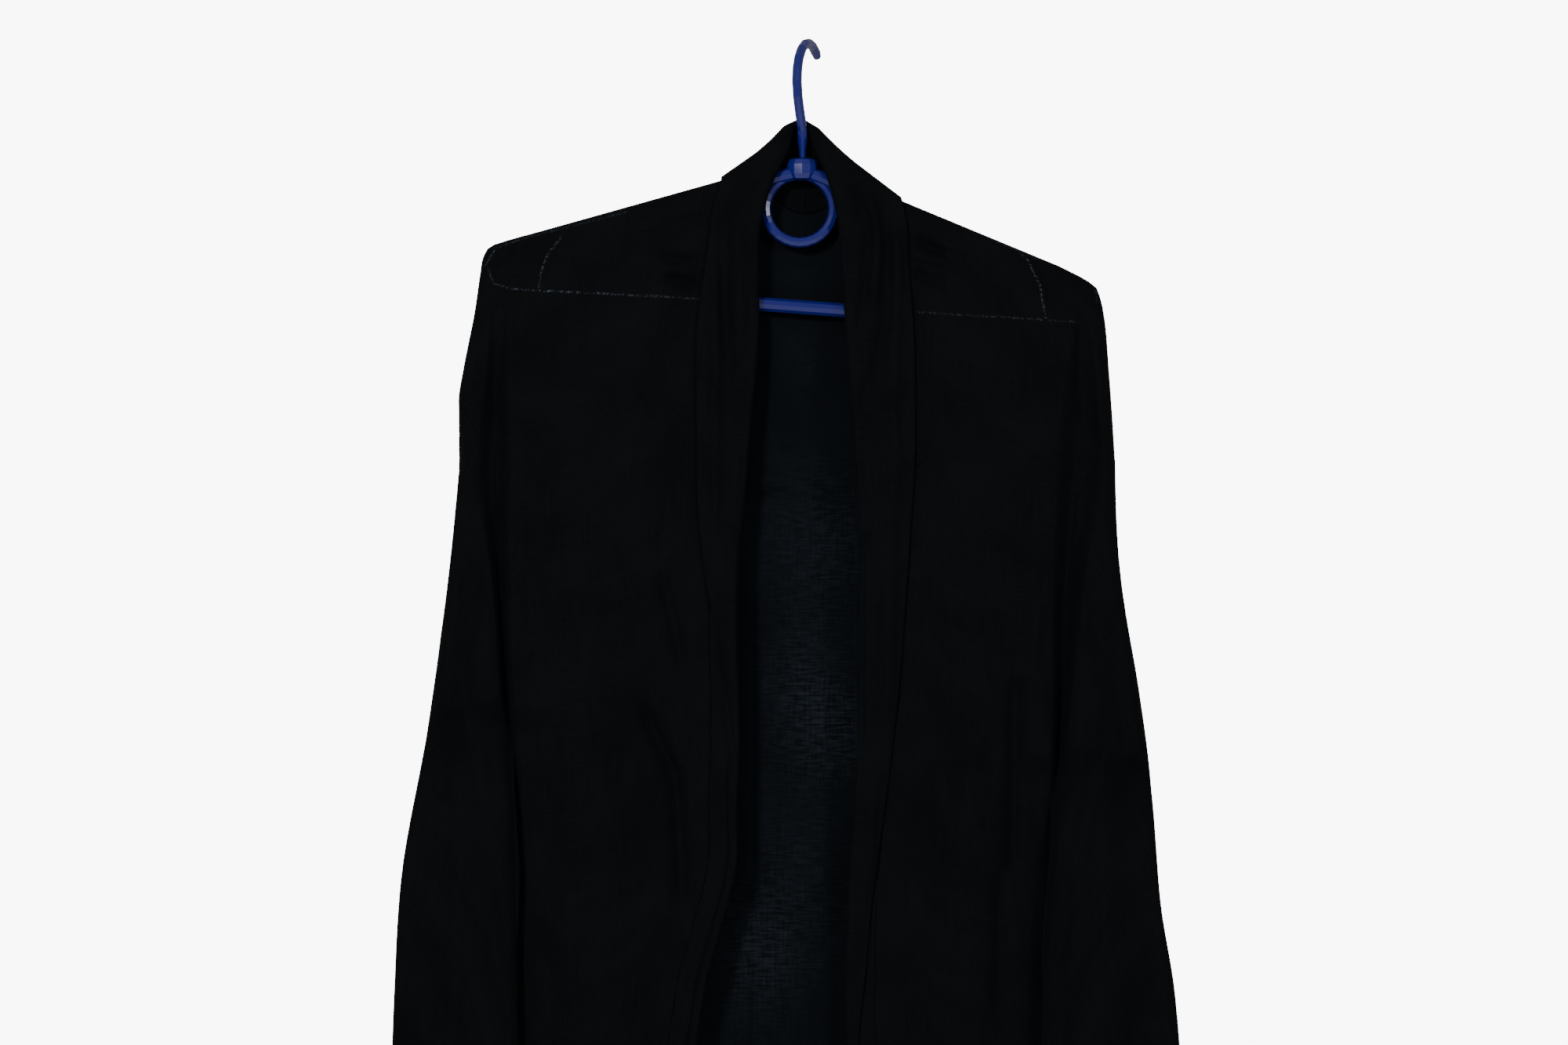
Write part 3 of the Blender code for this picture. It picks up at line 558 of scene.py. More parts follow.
def read(rows, name, at, by="drop"):
    return through(rows[by], rows[name], at)


def rounded(distance, radius):
    """How far out a fold's curve has come at this distance in from its edge, from 0 to 1."""
    t = np.clip(distance / radius, 0.0, 1.0)
    return np.sqrt(1 - (1 - t) ** 2)


def ridges(folds, x, drop):
    """The height of all the long folds at a point, each fading out at its two ends."""
    total = np.zeros(np.broadcast(x, drop).shape)
    for x0, d0, x1, d1, width, height in zip(*folds.values()):
        along = (drop - d0) / (d1 - d0)
        line = x0 + (x1 - x0) * along
        ends = smooth(along * 4) * (smooth((1 - along) * 4) if d1 < CUFF_DROP else 1)
        total = total + height * ends * np.exp(-(((x - line) / width) ** 2))
    return total


def shoulder_drop(side, x):
    return np.interp(x, side["shoulder"]["x"], side["shoulder"]["drop"])


def body_depth(side, x, drop, face):
    """How far the front or back lies from the hanger's plane."""
    sign = side["sign"]
    folds = FRONT_FOLDS if face == "front" else BACK_FOLDS
    below = (drop - shoulder_drop(side, x)) * 0.94
    outer = sign * (read(side["outline"], "x", drop) - x)
    outer = np.where(drop < side["tip"][1], 99.0, outer)
    wrap = rounded(np.minimum(outer / OUTER_FOLD, below / WRAP_RADIUS), 1.0)
    base = read(DEPTH, face, drop)
    relief = ridges(folds, x, drop) * smooth((drop - 190) / 60)
    depth = (base + relief) * wrap
    valley = side["valley"]
    gap = np.abs(x - read(valley, "x", drop)) / read(valley, "half", drop)
    wall = smooth((gap - 0.3) / 1.3)
    floor = read(valley, "floor", drop)
    start = smooth((drop - valley["drop"][0] + 12) / 30)
    sunk = np.minimum(depth, floor + np.maximum(depth - floor, 0) * wall)
    depth = depth + (sunk - depth) * start
    inside = sign * (read(side["side"], "x", drop) - x)
    thin = 0.42 + 0.58 * smooth(inside / 42)
    closing = (base * thin + relief * smooth(inside / 30)) * rounded(inside, SIDE_FOLD)
    below_arm = smooth((drop - side["underarm"] + 24) / 24)
    return depth + (closing - depth) * below_arm


def body_centre(side, x, drop):
    """The side fold hangs a little behind the hanger's plane, clear of the sleeve."""
    inside = side["sign"] * (read(side["side"], "x", drop) - x)
    back = 4.0 * smooth((drop - side["underarm"]) / 50)
    return back * (1 - smooth(inside / 60))


def body_y(side, x, drop, face):
    sign = -1 if face == "front" else 1
    return body_centre(side, x, drop) + sign * body_depth(side, x, drop, face)


def sleeve_y(side, x, drop, face):
    """The sleeve's two faces, which meet at its outer and inner folds below the underarm."""
    sign = -1 if face == "front" else 1
    rows = side["sleeve"]
    outer = side["sign"] * (read(side["outline"], "x", drop) - x)
    inner = side["sign"] * (x - read(rows, "inner", drop))
    half = read(rows, "half", drop)
    closed = (half + ridges(SLEEVE_FOLDS, x, drop)) * rounded(
        np.minimum(outer / OUTER_FOLD, inner / SIDE_FOLD), 1.0
    )
    above = smooth((side["underarm"] - drop) / 24)
    depth = closed + (body_depth(side, x, drop, face) - closed) * above
    return read(rows, "centre", drop) + sign * depth


def marks(creases, x, drop):
    """Soft troughs and ridges along straight runs, each fading at its two ends."""
    total = np.zeros(np.broadcast(x, drop).shape)
    for x0, d0, x1, d1, width, height in zip(*creases.values()):
        run = math.hypot(x1 - x0, d1 - d0)
        ux, ud = (x1 - x0) / run, (d1 - d0) / run
        along = (x - x0) * ux + (drop - d0) * ud
        off = (x - x0) * ud - (drop - d0) * ux
        fade = min(run * 0.35, 16.0)
        ends = smooth((along + fade * 0.4) / fade) * smooth((run - along + fade * 0.4) / fade)
        total = total + height * ends * np.exp(-((off / width) ** 2))
    return total


def press_lines(x, drop):
    """How far a point lies to one side of the nearest hanger mark, and how near it is, which place the
    painted highlight glints.
    """
    side = np.zeros(x.shape)
    near = np.zeros(x.shape)
    for x0, d0, x1, d1, width, height in zip(*PRESS.values()):
        run = math.hypot(x1 - x0, d1 - d0)
        ux, ud = (x1 - x0) / run, (d1 - d0) / run
        along = (x - x0) * ux + (drop - d0) * ud
        off = (x - x0) * ud - (drop - d0) * ux
        ends = smooth((along + 2) / 4) * smooth((run - along + 2) / 4)
        found = height * ends * np.exp(-((off / GLINT_REACH) ** 2))
        side = np.where(found > near, off, side)
        near = np.maximum(found, near)
    return side, near


def painted_backlight(x, drop):
    """Where the inside is painted paler, as painted light that stands in for light from behind the thin
    cloth.
    """
    total = np.zeros(x.shape)
    for x0, d0, wide, tall, amount in zip(*BACKLIGHT_PATCHES.values()):
        total = total + amount * np.exp(-(((x - x0) / wide) ** 2) - ((drop - d0) / tall) ** 2)
    return total


def ripples(x, drop, seed):
    """The faint unevenness of cloth that hangs free."""
    total = np.zeros(np.broadcast(x, drop).shape)
    for across, down, phase, height in zip(*RIPPLES.values()):
        total = total + height * np.sin(2 * math.pi * (x * across + drop * down) + phase + seed)
    return total


def finer(grid, down, across, ring=False):
    """A grid of points with more rows and columns, along smooth curves through the first ones."""
    def split(values, steps, cyclic):
        count = len(values)
        last = values[:1] if cyclic else values[-1:] * 2 - values[-2:-1]
        first = values[-1:] if cyclic else values[:1] * 2 - values[1:2]
        after = values[1:2] if cyclic else values[-1:] * 3 - values[-2:-1] * 2
        padded = np.concatenate([first, values, last, after])
        found = []
        for i in range(1, count + 1 if cyclic else count):
            a, b, c, d = padded[i - 1], padded[i], padded[i + 1], padded[i + 2]
            reach = np.linalg.norm(c[..., :] - b[..., :], axis=-1, keepdims=True)
            into = np.linalg.norm(b - a, axis=-1, keepdims=True)
            past = np.linalg.norm(d - c, axis=-1, keepdims=True)
            m1 = (c - a) * reach / np.maximum(into + reach, 1e-6)
            m2 = (d - b) * reach / np.maximum(past + reach, 1e-6)
            for t in np.arange(steps) / steps:
                h00, h10 = (1 + 2 * t) * (1 - t) ** 2, t * (1 - t) ** 2
                h01, h11 = t * t * (3 - 2 * t), t * t * (t - 1)
                found.append(b * h00 + m1 * h10 + c * h01 + m2 * h11)
        if not cyclic:
            found.append(values[-1])
        return np.array(found)
    tall = split(grid, down, False)
    return split(tall.transpose(1, 0, 2), across, ring).transpose(1, 0, 2)


def closer(values, times):
    """The same run of values with this many steps between each two."""
    values = np.asarray(values, float)
    at = np.arange((len(values) - 1) * times + 1) / times
    return np.interp(at, np.arange(len(values)), values)


def armhole(side, at):
    """Seam points: 0 at the outer fold, 4 at the turn into the recess, 9 at the underarm."""
    nick, recess, underarm = side["nick"], side["recess"], side["underarm"]
    start_x = read(side["outline"], "x", nick)
    turn_x = read(side["valley"], "x", recess)
    t = np.interp(at, np.arange(5), [0.0, 0.16, 0.42, 0.74, 1.0])
    share = np.interp(at, np.arange(4, 10), [0.0, 0.16, 0.36, 0.58, 0.8, 1.0])
    low = recess + (underarm - recess) * share
    x = np.where(at < 4, start_x + (turn_x - start_x) * t, read(side["valley"], "x", low))
    drop = np.where(at < 4, nick + (recess - nick) * t, low)
    return np.stack([x, drop], axis=-1)


def outer_ends(side, rows):
    """Where each row of a panel ends: down the outer fold, the armhole and the side seam."""
    tip, nick, underarm = side["tip"][1], side["nick"], side["underarm"]
    hanging = tip + (nick - tip) * np.array([0.16, 0.34, 0.55, 0.78])
    fold = np.concatenate([[tip, tip + 0.9, tip + 3.2, tip + 6.4], hanging, [nick]])
    shares = np.array([0.0, 0.035, 0.09, 0.17, 0.28, 0.41, 0.55, 0.7, 0.85, 1.0])
    body = underarm + (HEM_DROP - underarm) * shares
    fold_drop = np.interp(rows, np.arange(len(fold)), fold)
    body_drop = np.interp(rows - UNDERARM_ROW, np.arange(len(body)), body)
    at = rows - NICK_ROW
    seam = armhole(side, at)
    seam[:, 0] -= side["sign"] * SEAM_GAP
    seam[:, 1] -= SEAM_GAP * np.clip(4 - at, 0, 1)
    seam[:, 0] += (read(side["side"], "x", underarm) - seam[:, 0]) * smooth(at - 8)
    x = np.where(rows < NICK_ROW, read(side["outline"], "x", fold_drop), seam[:, 0])
    x = np.where(rows > UNDERARM_ROW, read(side["side"], "x", body_drop), x)
    drop = np.where(rows < NICK_ROW, fold_drop, seam[:, 1])
    drop = np.where(rows > UNDERARM_ROW, body_drop, drop)
    return np.stack([x, drop], axis=1)


def inner_drops(side, ends):
    """The drop at which each row meets the collar seam: level with its outer end low down."""
    tip, neck = side["tip"][1], side["neck_point"][1]
    fade = 1 - smooth((ends[:, 1] - tip) / 220)
    return ends[:, 1] - (tip - neck) * fade


def seam_x(side, drop):
    """The front edge of a front panel, under the collar's fold."""
    roll = read(side["roll"], "roll", drop)
    return roll + side["sign"] * read(side["stand"], "width", drop)


def spread(width, count, fine):
    """Distances in from a row's outer end: close at the fold, even beyond it."""
    close = np.array([0.0, 0.9, 3.2, 6.6, 11.0, 17.0, 24.0])
    rest = np.linspace(0, 1, count - len(close) + 1)[1:]
    return closer(np.concatenate([close, close[-1] + (width - close[-1]) * rest]), fine)


def row_points(side, end, drop_in, x_in, count, fine, flatten):
    """Plan positions along one row, from the outer end in to x_in."""
    away = -side["sign"]
    width = abs(end[0] - x_in)
    x = end[0] + away * spread(width, count, fine)
    share = np.abs(x - x_in) / width
    line_in = shoulder_drop(side, x_in)
    line_out = shoulder_drop(side, end[0])
    straight = line_in + (line_out - line_in) * share
    shoulder = shoulder_drop(side, x)
    line = shoulder + (straight - shoulder) * flatten
    below = (drop_in - line_in) + ((end[1] - line_out) - (drop_in - line_in)) * share
    return x, line + below


def seam_dip(distance, depth):
    """How far a sewn edge pulls the cloth in beside it."""
    return depth * (1 - smooth(np.abs(distance) / 3.0))


def hem_step(drop, edge):
    """The turned hem stands a little proud of the single cloth above it."""
    return HEM_STEP * smooth((drop - (edge - HEM_BAND)) / 1.2)


def panel_relief(side, x, drop, ends_x, creases, settings):
    """Creases, hanger marks and unevenness of a front or back, away from its edges."""
    sign = side["sign"]
    inside = np.abs(ends_x - x)
    below = drop - shoulder_drop(side, x)
    calm = smooth(inside / 12) * smooth((below - 4) / 14)
    soft = marks(creases, x, drop) * settings.creases + ripples(x, drop, sign) * settings.ripples
    pressed = marks(PRESS, x, drop) * smooth(inside / 3.5) * settings.creases
    return soft * calm + pressed


def front_grid(side, down, across, settings, count=17):
    """Rows from the shoulder seam to the hem, columns from the outer end in to the collar seam."""
    steps = np.arange(HEM_ROW * down + 1) / down
    ends = outer_ends(side, steps)
    drops = inner_drops(side, ends)
    sign = side["sign"]
    rows = []
    for step, end, drop_in in zip(steps, ends, drops):
        x_in = seam_x(side, drop_in) + sign * SEAM_GAP / 2
        x, drop = row_points(side, end, drop_in, x_in, count, across, smooth(step / NICK_ROW))
        y = body_y(side, x, drop, "front")
        relief = panel_relief(side, x, drop, end[0], CREASES, settings)
        past_collar = sign * (x - read(side["roll"], "edge", drop))
        relief = relief * smooth((past_collar + 0.5) / 5)
        relief = relief + hem_step(drop, HEM_DROP) * smooth((past_collar + 4) / 4)
        relief = relief - seam_dip(end[0] - x, 0.5) * float(step > NICK_ROW)
        y = np.minimum(y - relief, body_centre(side, x, drop) - FOLD_SEAM)
        rows.append(np.stack([x, y, drop], axis=1))
    return np.array(rows)


def neck_drop(x):
    """The back neck line between the two neck points."""
    xs = np.concatenate([RIGHT_NECK["sx"][::-1], LEFT_NECK["sx"]])
    ds = np.concatenate([RIGHT_NECK["sd"][::-1], LEFT_NECK["sd"]])
    return through(xs, ds, x)


def neck_back_y(x):
    """How far behind the hanger's plane the back neck line lies."""
    xs = np.concatenate([RIGHT_NECK["sx"][::-1], LEFT_NECK["sx"]])
    ys = np.concatenate([RIGHT_NECK["sy"][::-1], LEFT_NECK["sy"]])
    return through(xs, ys, x)


def back_grid(down, across, settings, count=13):
    """Rows from the shoulders and back neck to the hem, columns from the right to the left."""
    right, left = SIDES["right"], SIDES["left"]
    steps = np.arange(HEM_ROW * down + 1) / down
    ends_r, ends_l = outer_ends(right, steps), outer_ends(left, steps)
    drops_r, drops_l = inner_drops(right, ends_r), inner_drops(left, ends_l)
    x_r, x_l = right["neck_point"][0], left["neck_point"][0]
    inner = [RIGHT_NECK["sx"][::-1][:-1], [CENTRE_BACK_SEAM], LEFT_NECK["sx"][1:]]
    neck_x = closer(np.concatenate(inner), across)[1:-1]
    even = np.linspace(x_r, x_l, len(neck_x) + 2)[1:-1]
    rows = []
    for i, step in enumerate(steps):
        flatten = smooth(step / NICK_ROW)
        xr, dr = row_points(right, ends_r[i], drops_r[i], x_r, count, across, flatten)
        xl, dl = row_points(left, ends_l[i], drops_l[i], x_l, count, across, flatten)
        xm = neck_x + (even - neck_x) * smooth((step - 3) / 12)
        share = (xm - x_r) / (x_l - x_r)
        level = drops_r[i] + (drops_l[i] - drops_r[i]) * share
        top = drops_r[0] + (drops_l[0] - drops_r[0]) * share
        dip = neck_drop(xm) + 0.75 * SEAM_GAP - top
        dm = level + dip * (1 - smooth((level - top) / 120))
        found = []
        for side, x, drop, end in ((right, xr, dr, ends_r[i]), (left, xl, dl, ends_l[i])):
            y = body_y(side, x, drop, "back")
            relief = panel_relief(side, x, drop, end[0], BACK_CREASES, settings)
            relief = relief - hem_step(drop, HEM_DROP)
            relief = relief + seam_dip(end[0] - x, 0.5) * float(step > NICK_ROW)
            found.append(np.maximum(y - relief, body_centre(side, x, drop) + FOLD_SEAM))
        yr, yl = found
        fade = smooth((level - top) / 90)
        plain_r = body_y(right, xr[-1:], dr[-1:], "back")
        plain_l = body_y(left, xl[-1:], dl[-1:], "back")
        hung = plain_r + (plain_l - plain_r) * share + ridges(BACK_FOLDS, xm, dm) * fade
        middle = marks(BACK_CREASES, xm, dm) * settings.creases
        middle = middle * smooth((dm - neck_drop(xm) - 6) / 12)
        edge_r, edge_l = plain_r - yr[-1], plain_l - yl[-1]
        hung = hung - (edge_r + (edge_l - edge_r) * share)
        hung = hung - middle * np.minimum(1, 6 * share * (1 - share))
        ym = np.maximum(hung, neck_back_y(xm) * (1 - smooth((level - top) / 260)))
        rows.append(
            np.stack(
                [
                    np.concatenate([xr, xm, xl[::-1]]),
                    np.concatenate([yr, ym, yl[::-1]]),
                    np.concatenate([dr, dm, dl[::-1]]),
                ],
                axis=1,
            )
        )
    return np.array(rows)


def sleeve_grid(side, down, across, settings):
    """Rows from the armhole to the cuff, columns round the tube from the inner fold over the front."""
    at = np.arange(9 * across + 1) / across
    seam = armhole(side, 9 - at)
    sign = side["sign"]
    underarm = smooth(1 - at)
    seam[:, 0] += sign * SEAM_GAP
    seam[:, 1] += SEAM_GAP * np.clip(at - 5, 0, 1)
    seam[:, 0] += (read(side["sleeve"], "inner", side["underarm"]) - seam[:, 0]) * underarm
    seam[:, 1] += (side["underarm"] + 2.0 - seam[:, 1]) * underarm
    share = (1 - np.cos(np.pi * at / 9)) / 2
    rows = []
    for fall in (np.arange(SLEEVE_ROWS * down + 1) / (SLEEVE_ROWS * down)) ** 1.5:
        drop = seam[:, 1] + (CUFF_DROP - seam[:, 1]) * fall
        inner = read(side["sleeve"], "inner", drop)
        outer = read(side["outline"], "x", drop)
        x = inner + (outer - inner) * share
        x = seam[:, 0] + (x - seam[:, 0]) * smooth(fall / 0.32)
        tuck = UNDERARM_TUCK * np.exp(-(((drop - side["underarm"] - TUCK_BELOW) / TUCK_REACH) ** 4))
        x = x - sign * tuck * (1 - share) ** 2
        edges = np.minimum(np.abs(x - inner), np.abs(outer - x))
        calm = smooth(edges / 9) * smooth(fall / 0.03)
        relief = marks(SLEEVE_CREASES, x, drop) * settings.creases
        relief = (relief + ripples(x, drop, 3 + sign) * settings.ripples) * calm
        relief = relief + hem_step(drop, CUFF_DROP) * smooth(edges / 3)
        front = sleeve_y(side, x, drop, "front") - relief
        back = sleeve_y(side, x, drop, "back") + relief
        loop = [np.stack([x, front, drop], axis=1)]
        loop.append(np.stack([x, back, drop], axis=1)[-2:0:-1])
        rows.append(np.concatenate(loop))
    return np.array(rows)


def unit(v):
    """The same directions at length 1."""
    return v / np.linalg.norm(v, axis=-1, keepdims=True)


def collar_section(seam, roll, edge, out, bend):
    """One cross line of the band: up the stand, round the roll and down the fall."""
    down = (seam + edge) / 2 - roll
    out = unit(out)
    down = unit(down - out * np.dot(down, out))
    centre = roll + down * bend
    start, end = centre - out * bend, centre + out * bend
    stand = [seam + (start - seam) * t for t in (0.0, 0.35, 0.7)]
    turn = [
        centre - out * bend * math.cos(a) - down * bend * math.sin(a)
        for a in np.pi * np.array([0.0, 0.25, 0.5, 0.75, 1.0])
    ]
    fall = [end + (edge - end) * t for t in (0.34, 0.68, 1.0)]
    return np.array(stand + turn + fall)


def on_panel(side, x, drop, lift):
    """A point this far out from the front panel, square to it where it curves over the arm."""
    curve = rounded((drop - shoulder_drop(side, x)) * 0.94 / WRAP_RADIUS, 1.0)
    y = body_y(side, x, drop, "front") - lift * curve
    return np.stack([x, y, drop - lift * np.sqrt(1 - curve**2)], axis=-1)


def front_section(side, drop):
    """A cross line on the front, where the stand and fall follow the front panel's own form."""
    sign = side["sign"]
    neck = side["neck_point"][1]
    roll = read(side["roll"], "roll", drop)
    edge = read(side["roll"], "edge", drop)
    bend = read(side["roll"], "bend", drop)
    seam = seam_x(side, drop)
    turn_x = roll + sign * bend
    stand_x = seam + (turn_x - seam) * np.array([0.0, 0.35, 0.7])
    fall_x = turn_x + (edge - turn_x) * np.array([0.34, 0.68, 1.0])
    angle = np.pi * np.array([0.0, 0.25, 0.5, 0.75, 1.0])
    turn = turn_x - sign * bend * np.sin(angle)
    rise = 2 * bend + (LAYER_STEP - 2 * bend) * np.array([0.34, 0.68, 1.0])
    x = np.concatenate([stand_x, turn, fall_x])
    lift = np.concatenate([np.zeros(3), bend * (1 - np.cos(angle)), rise])
    slope = 1 - smooth((drop - neck) / 140)
    panel_x = np.where(sign * (x - turn_x) > 0, x, turn_x)
    level = drop + (shoulder_drop(side, x) - shoulder_drop(side, seam)) * slope
    found = on_panel(side, panel_x, level, lift)
    found[:, 0] = x
    return found


def neck_section(side, step):
    """A cross line of the collar round the neck, and the way that it faces."""
    value = {name: read(side["neck"], name, step, by="step") for name in side["neck"]}
    seam = np.array([value["sx"], value["sy"], value["sd"] - SEAM_GAP])
    roll = np.array([value["rx"], value["ry"], value["rd"]])
    edge = np.array([value["ex"], value["ey"], value["ed"]])
    out = np.array([value["nx"], value["ny"], value["nd"]])
    return collar_section(seam, roll, edge, out, value["bend"]), out


def collar_grid(side, down, across, settings):
    """Rows from the centre back round the neck and down the front, columns across the band."""
    sign = side["sign"]
    rows = []
    for step in np.linspace(0, NECK_STEPS, NECK_STEPS * down + 1):
        section, out = neck_section(side, step)
        rows.append(section)
    halves = [neck_section(SIDES[name], 0.0)[0] for name in SIDES]
    meeting = sum(halves) / 2 - rows[0]
    for row in range(down):
        rows[row] = rows[row] + meeting * (1 - smooth(row / down))
    roll = np.array([read(side["neck"], name, NECK_STEPS, by="step") for name in ("rx", "ry", "rd")])
    top = side["neck_point"][1]
    steps = np.arange(HEM_ROW * down + 1) / down
    for drop in inner_drops(side, outer_ends(side, steps))[1:]:
        low = front_section(side, drop)
        forward = smooth((drop - top) / 50)
        lean = [0, -3.0 * math.sin(math.pi * forward), 0]
        middle = roll + (low[5] - roll) * forward + lean
        facing = out + (np.array([0.0, -1.0, 0.0]) - out) * forward
        bend = read(side["roll"], "bend", drop)
        high = collar_section(low[0], middle, low[-1], facing, bend)
        found = high + (low - high) * smooth((drop - top - 15) / 45)
        found[0, 0] -= sign * SEAM_GAP * (1 - forward / 2)
        rows.append(found)
    fine = finer(np.array(rows), 1, across)
    x, drop = fine[..., 0], fine[..., 2]
    column = np.arange(fine.shape[1]) / across
    on_fall = smooth((column - 5.0) / 2.0)[None, :]
    past_neck = smooth((np.arange(len(fine)) / down - NECK_STEPS + 0.5) / 1.5)[:, None]
    relief = marks(COLLAR_CREASES, x, drop) * settings.creases
    relief = (relief + ripples(x, drop, 7 + sign) * settings.ripples * 0.6) * on_fall * past_neck
    fine[..., 1] -= np.maximum(relief * COLLAR_FOLD_DEPTH, -COLLAR_FOLD_LIMIT)
    return fine


def to_world(points):
    """Millimetres across, behind the hanger's plane and below the hook, to metres."""
    points = np.asarray(points, float)
    return np.stack(
        [points[..., 0], points[..., 1] + HANGER_Y, -points[..., 2]], axis=-1
    ) * MM


def linear(code):
    """An sRGB hex colour as linear red, green, blue and alpha."""
    values = [int(code[i:i + 2], 16) / 255 for i in (0, 2, 4)]
    return tuple(v / 12.92 if v <= 0.04045 else ((v + 0.055) / 1.055) ** 2.4 for v in values) + (1.0,)


def add_node(tree, kind, inputs=None, **settings):
    """A node with its settings, and its inputs set or linked."""
    made = tree.nodes.new(kind)
    for name, value in settings.items():
        setattr(made, name, value)
    for key, value in (inputs or {}).items():
        if isinstance(value, bpy.types.NodeSocket):
            tree.links.new(value, made.inputs[key])
        else:
            made.inputs[key].default_value = value
    return made


def fresh_material(name, finish):
    """A material with one Principled shader that has these values on its sockets."""
    made = bpy.data.materials.new(name)
    made.use_nodes = True
    shader = made.node_tree.nodes["Principled BSDF"]
    for key, value in finish.items():
        shader.inputs[key].default_value = value
    return made, made.node_tree, shader


def band_scale(pitch_mm):
    """The scale at which a Wave texture's bands repeat at this pitch, over coordinates in mm."""
    return 2 * math.pi / 20 / pitch_mm


def knitted_viscose(name, dark, light, settings, reverse=False):
    """Fine single jersey in black viscose, knitted and piece-dyed.

    It gives the eye a dull, deep black with hardly any gloss, a faint bloom where the cloth
    turns away, fine wales, soft cross slubs and a little cloudiness in the dye. Dotted glints
    are painted highlights along the hanger's edges, and painted light makes the inside paler
    where light would come through the thin cloth.
    """
    finish = {
        "Roughness": settings.jersey_roughness,
        "IOR": 1.46,
        "Specular IOR Level": settings.jersey_gloss,
        "Sheen Weight": settings.jersey_sheen,
        "Sheen Roughness": 0.45,
        "Sheen Tint": linear("8E9BB0"),
    }
    made, tree, shader = fresh_material(name, finish)
    flat = add_node(tree, "ShaderNodeUVMap", uv_map="cloth").outputs["UV"]
    mm = add_node(
        tree, "ShaderNodeVectorMath", {0: flat, 1: (1000, 1000, 1000)}, operation="MULTIPLY"
    ).outputs[0]
    wobble = add_node(tree, "ShaderNodeTexNoise", {"Vector": mm, "Scale": 0.03, "Detail": 3.0})
    warped = add_node(
        tree,
        "ShaderNodeVectorMath",
        {0: wobble.outputs["Color"], 1: (2.4, 2.4, 0.0), 2: mm},
        operation="MULTIPLY_ADD",
    ).outputs[0]
    wales, courses = [
        add_node(
            tree,
            "ShaderNodeTexWave",
            {"Vector": warped, "Scale": band_scale(pitch), "Distortion": distortion, "Detail": 1.0},
            wave_type="BANDS",
            bands_direction=direction,
        ).outputs["Fac"]
        for pitch, distortion, direction in ((WALE_PITCH, 0.6, "X"), (COURSE_PITCH, 0.8, "Y"))
    ]
    knit = add_node(tree, "ShaderNodeMath", {0: wales, 1: courses}, operation="MULTIPLY").outputs[0]
    # Slubs along the courses and the wales, then thin places along both. Each is noise drawn
    # out one way. The first pair counts features in a mm, and the second in a metre.
    level = add_node(tree, "ShaderNodeTexCoord").outputs["Object"]
    slub_across, slub_down, thin_across, thin_down = [
        add_node(
            tree,
            "ShaderNodeTexNoise",
            {
                "Vector": add_node(
                    tree, "ShaderNodeVectorMath", {0: place, 1: spacing}, operation="MULTIPLY"
                ).outputs[0],
                "Scale": 1.0,
                "Detail": 2.0,
            },
        ).outputs["Fac"]
        for place, spacing in (
            (mm, (0.03, 0.55, 1.0)),
            (mm, (0.6, 0.025, 1.0)),
            (level, (90, 0, 620)),
            (level, (560, 0, 70)),
        )
    ]
    slubs = add_node(tree, "ShaderNodeMath", {0: slub_across, 1: slub_down}, operation="ADD").outputs[0]
    cloudy = add_node(
        tree, "ShaderNodeTexNoise", {"Vector": mm, "Scale": 0.018, "Detail": 4.0, "Roughness": 0.55}
    ).outputs["Fac"]
    shade = -0.22
    for part, share in ((slubs, 0.42), (cloudy, 0.9), (knit, 0.25)):
        shade = add_node(
            tree, "ShaderNodeMath", {0: part, 1: share, 2: shade}, operation="MULTIPLY_ADD"
        ).outputs[0]
    shade = add_node(
        tree,
        "ShaderNodeMapRange",
        {"Value": shade, "From Min": 0.25, "From Max": 1.05},
        interpolation_type="SMOOTHSTEP",
    ).outputs["Result"]
    # The marks on each point: how far to the side of a hanger mark and how near, for the painted
    # glints, then how much painted backlight.
    marked = add_node(tree, "ShaderNodeAttribute", attribute_name="marks").outputs["Vector"]
    off_line, near, thin = add_node(tree, "ShaderNodeSeparateXYZ", {0: marked}).outputs
    off_line = add_node(tree, "ShaderNodeMath", {0: off_line}, operation="ABSOLUTE").outputs[0]
    line = add_node(
        tree,
        "ShaderNodeMapRange",
        {"Value": off_line, "From Min": 0.25, "From Max": 1.0, "To Min": 1.0, "To Max": 0.0},
        interpolation_type="SMOOTHSTEP",
    ).outputs["Result"]
    dots = add_node(tree, "ShaderNodeTexNoise", {"Vector": mm, "Scale": 0.62, "Detail": 2.0}).outputs["Fac"]
    glints = add_node(
        tree, "ShaderNodeMapRange", {"Value": dots, "From Min": 0.47, "From Max": 0.72}
    ).outputs["Result"]
    glint_mask = add_node(tree, "ShaderNodeMath", {0: line, 1: near}, operation="MULTIPLY").outputs[0]
    glint_mask = add_node(
        tree, "ShaderNodeMath", {0: glint_mask, 1: glints}, operation="MULTIPLY", use_clamp=True
    ).outputs[0]
    # The thin places in the knit, scaled by the painted backlight's amount, are where the inside is painted
    # paler.
    open_knit = add_node(
        tree, "ShaderNodeMath", {0: thin_down, 1: 0.45, 2: thin_across}, operation="MULTIPLY_ADD"
    ).outputs[0]
    open_knit = add_node(
        tree, "ShaderNodeMapRange", {"Value": open_knit, "From Min": 0.6, "From Max": 1.0}
    ).outputs["Result"]
    paler = add_node(
        tree, "ShaderNodeMath", {0: open_knit, 1: thin}, operation="MULTIPLY", use_clamp=True
    ).outputs[0]
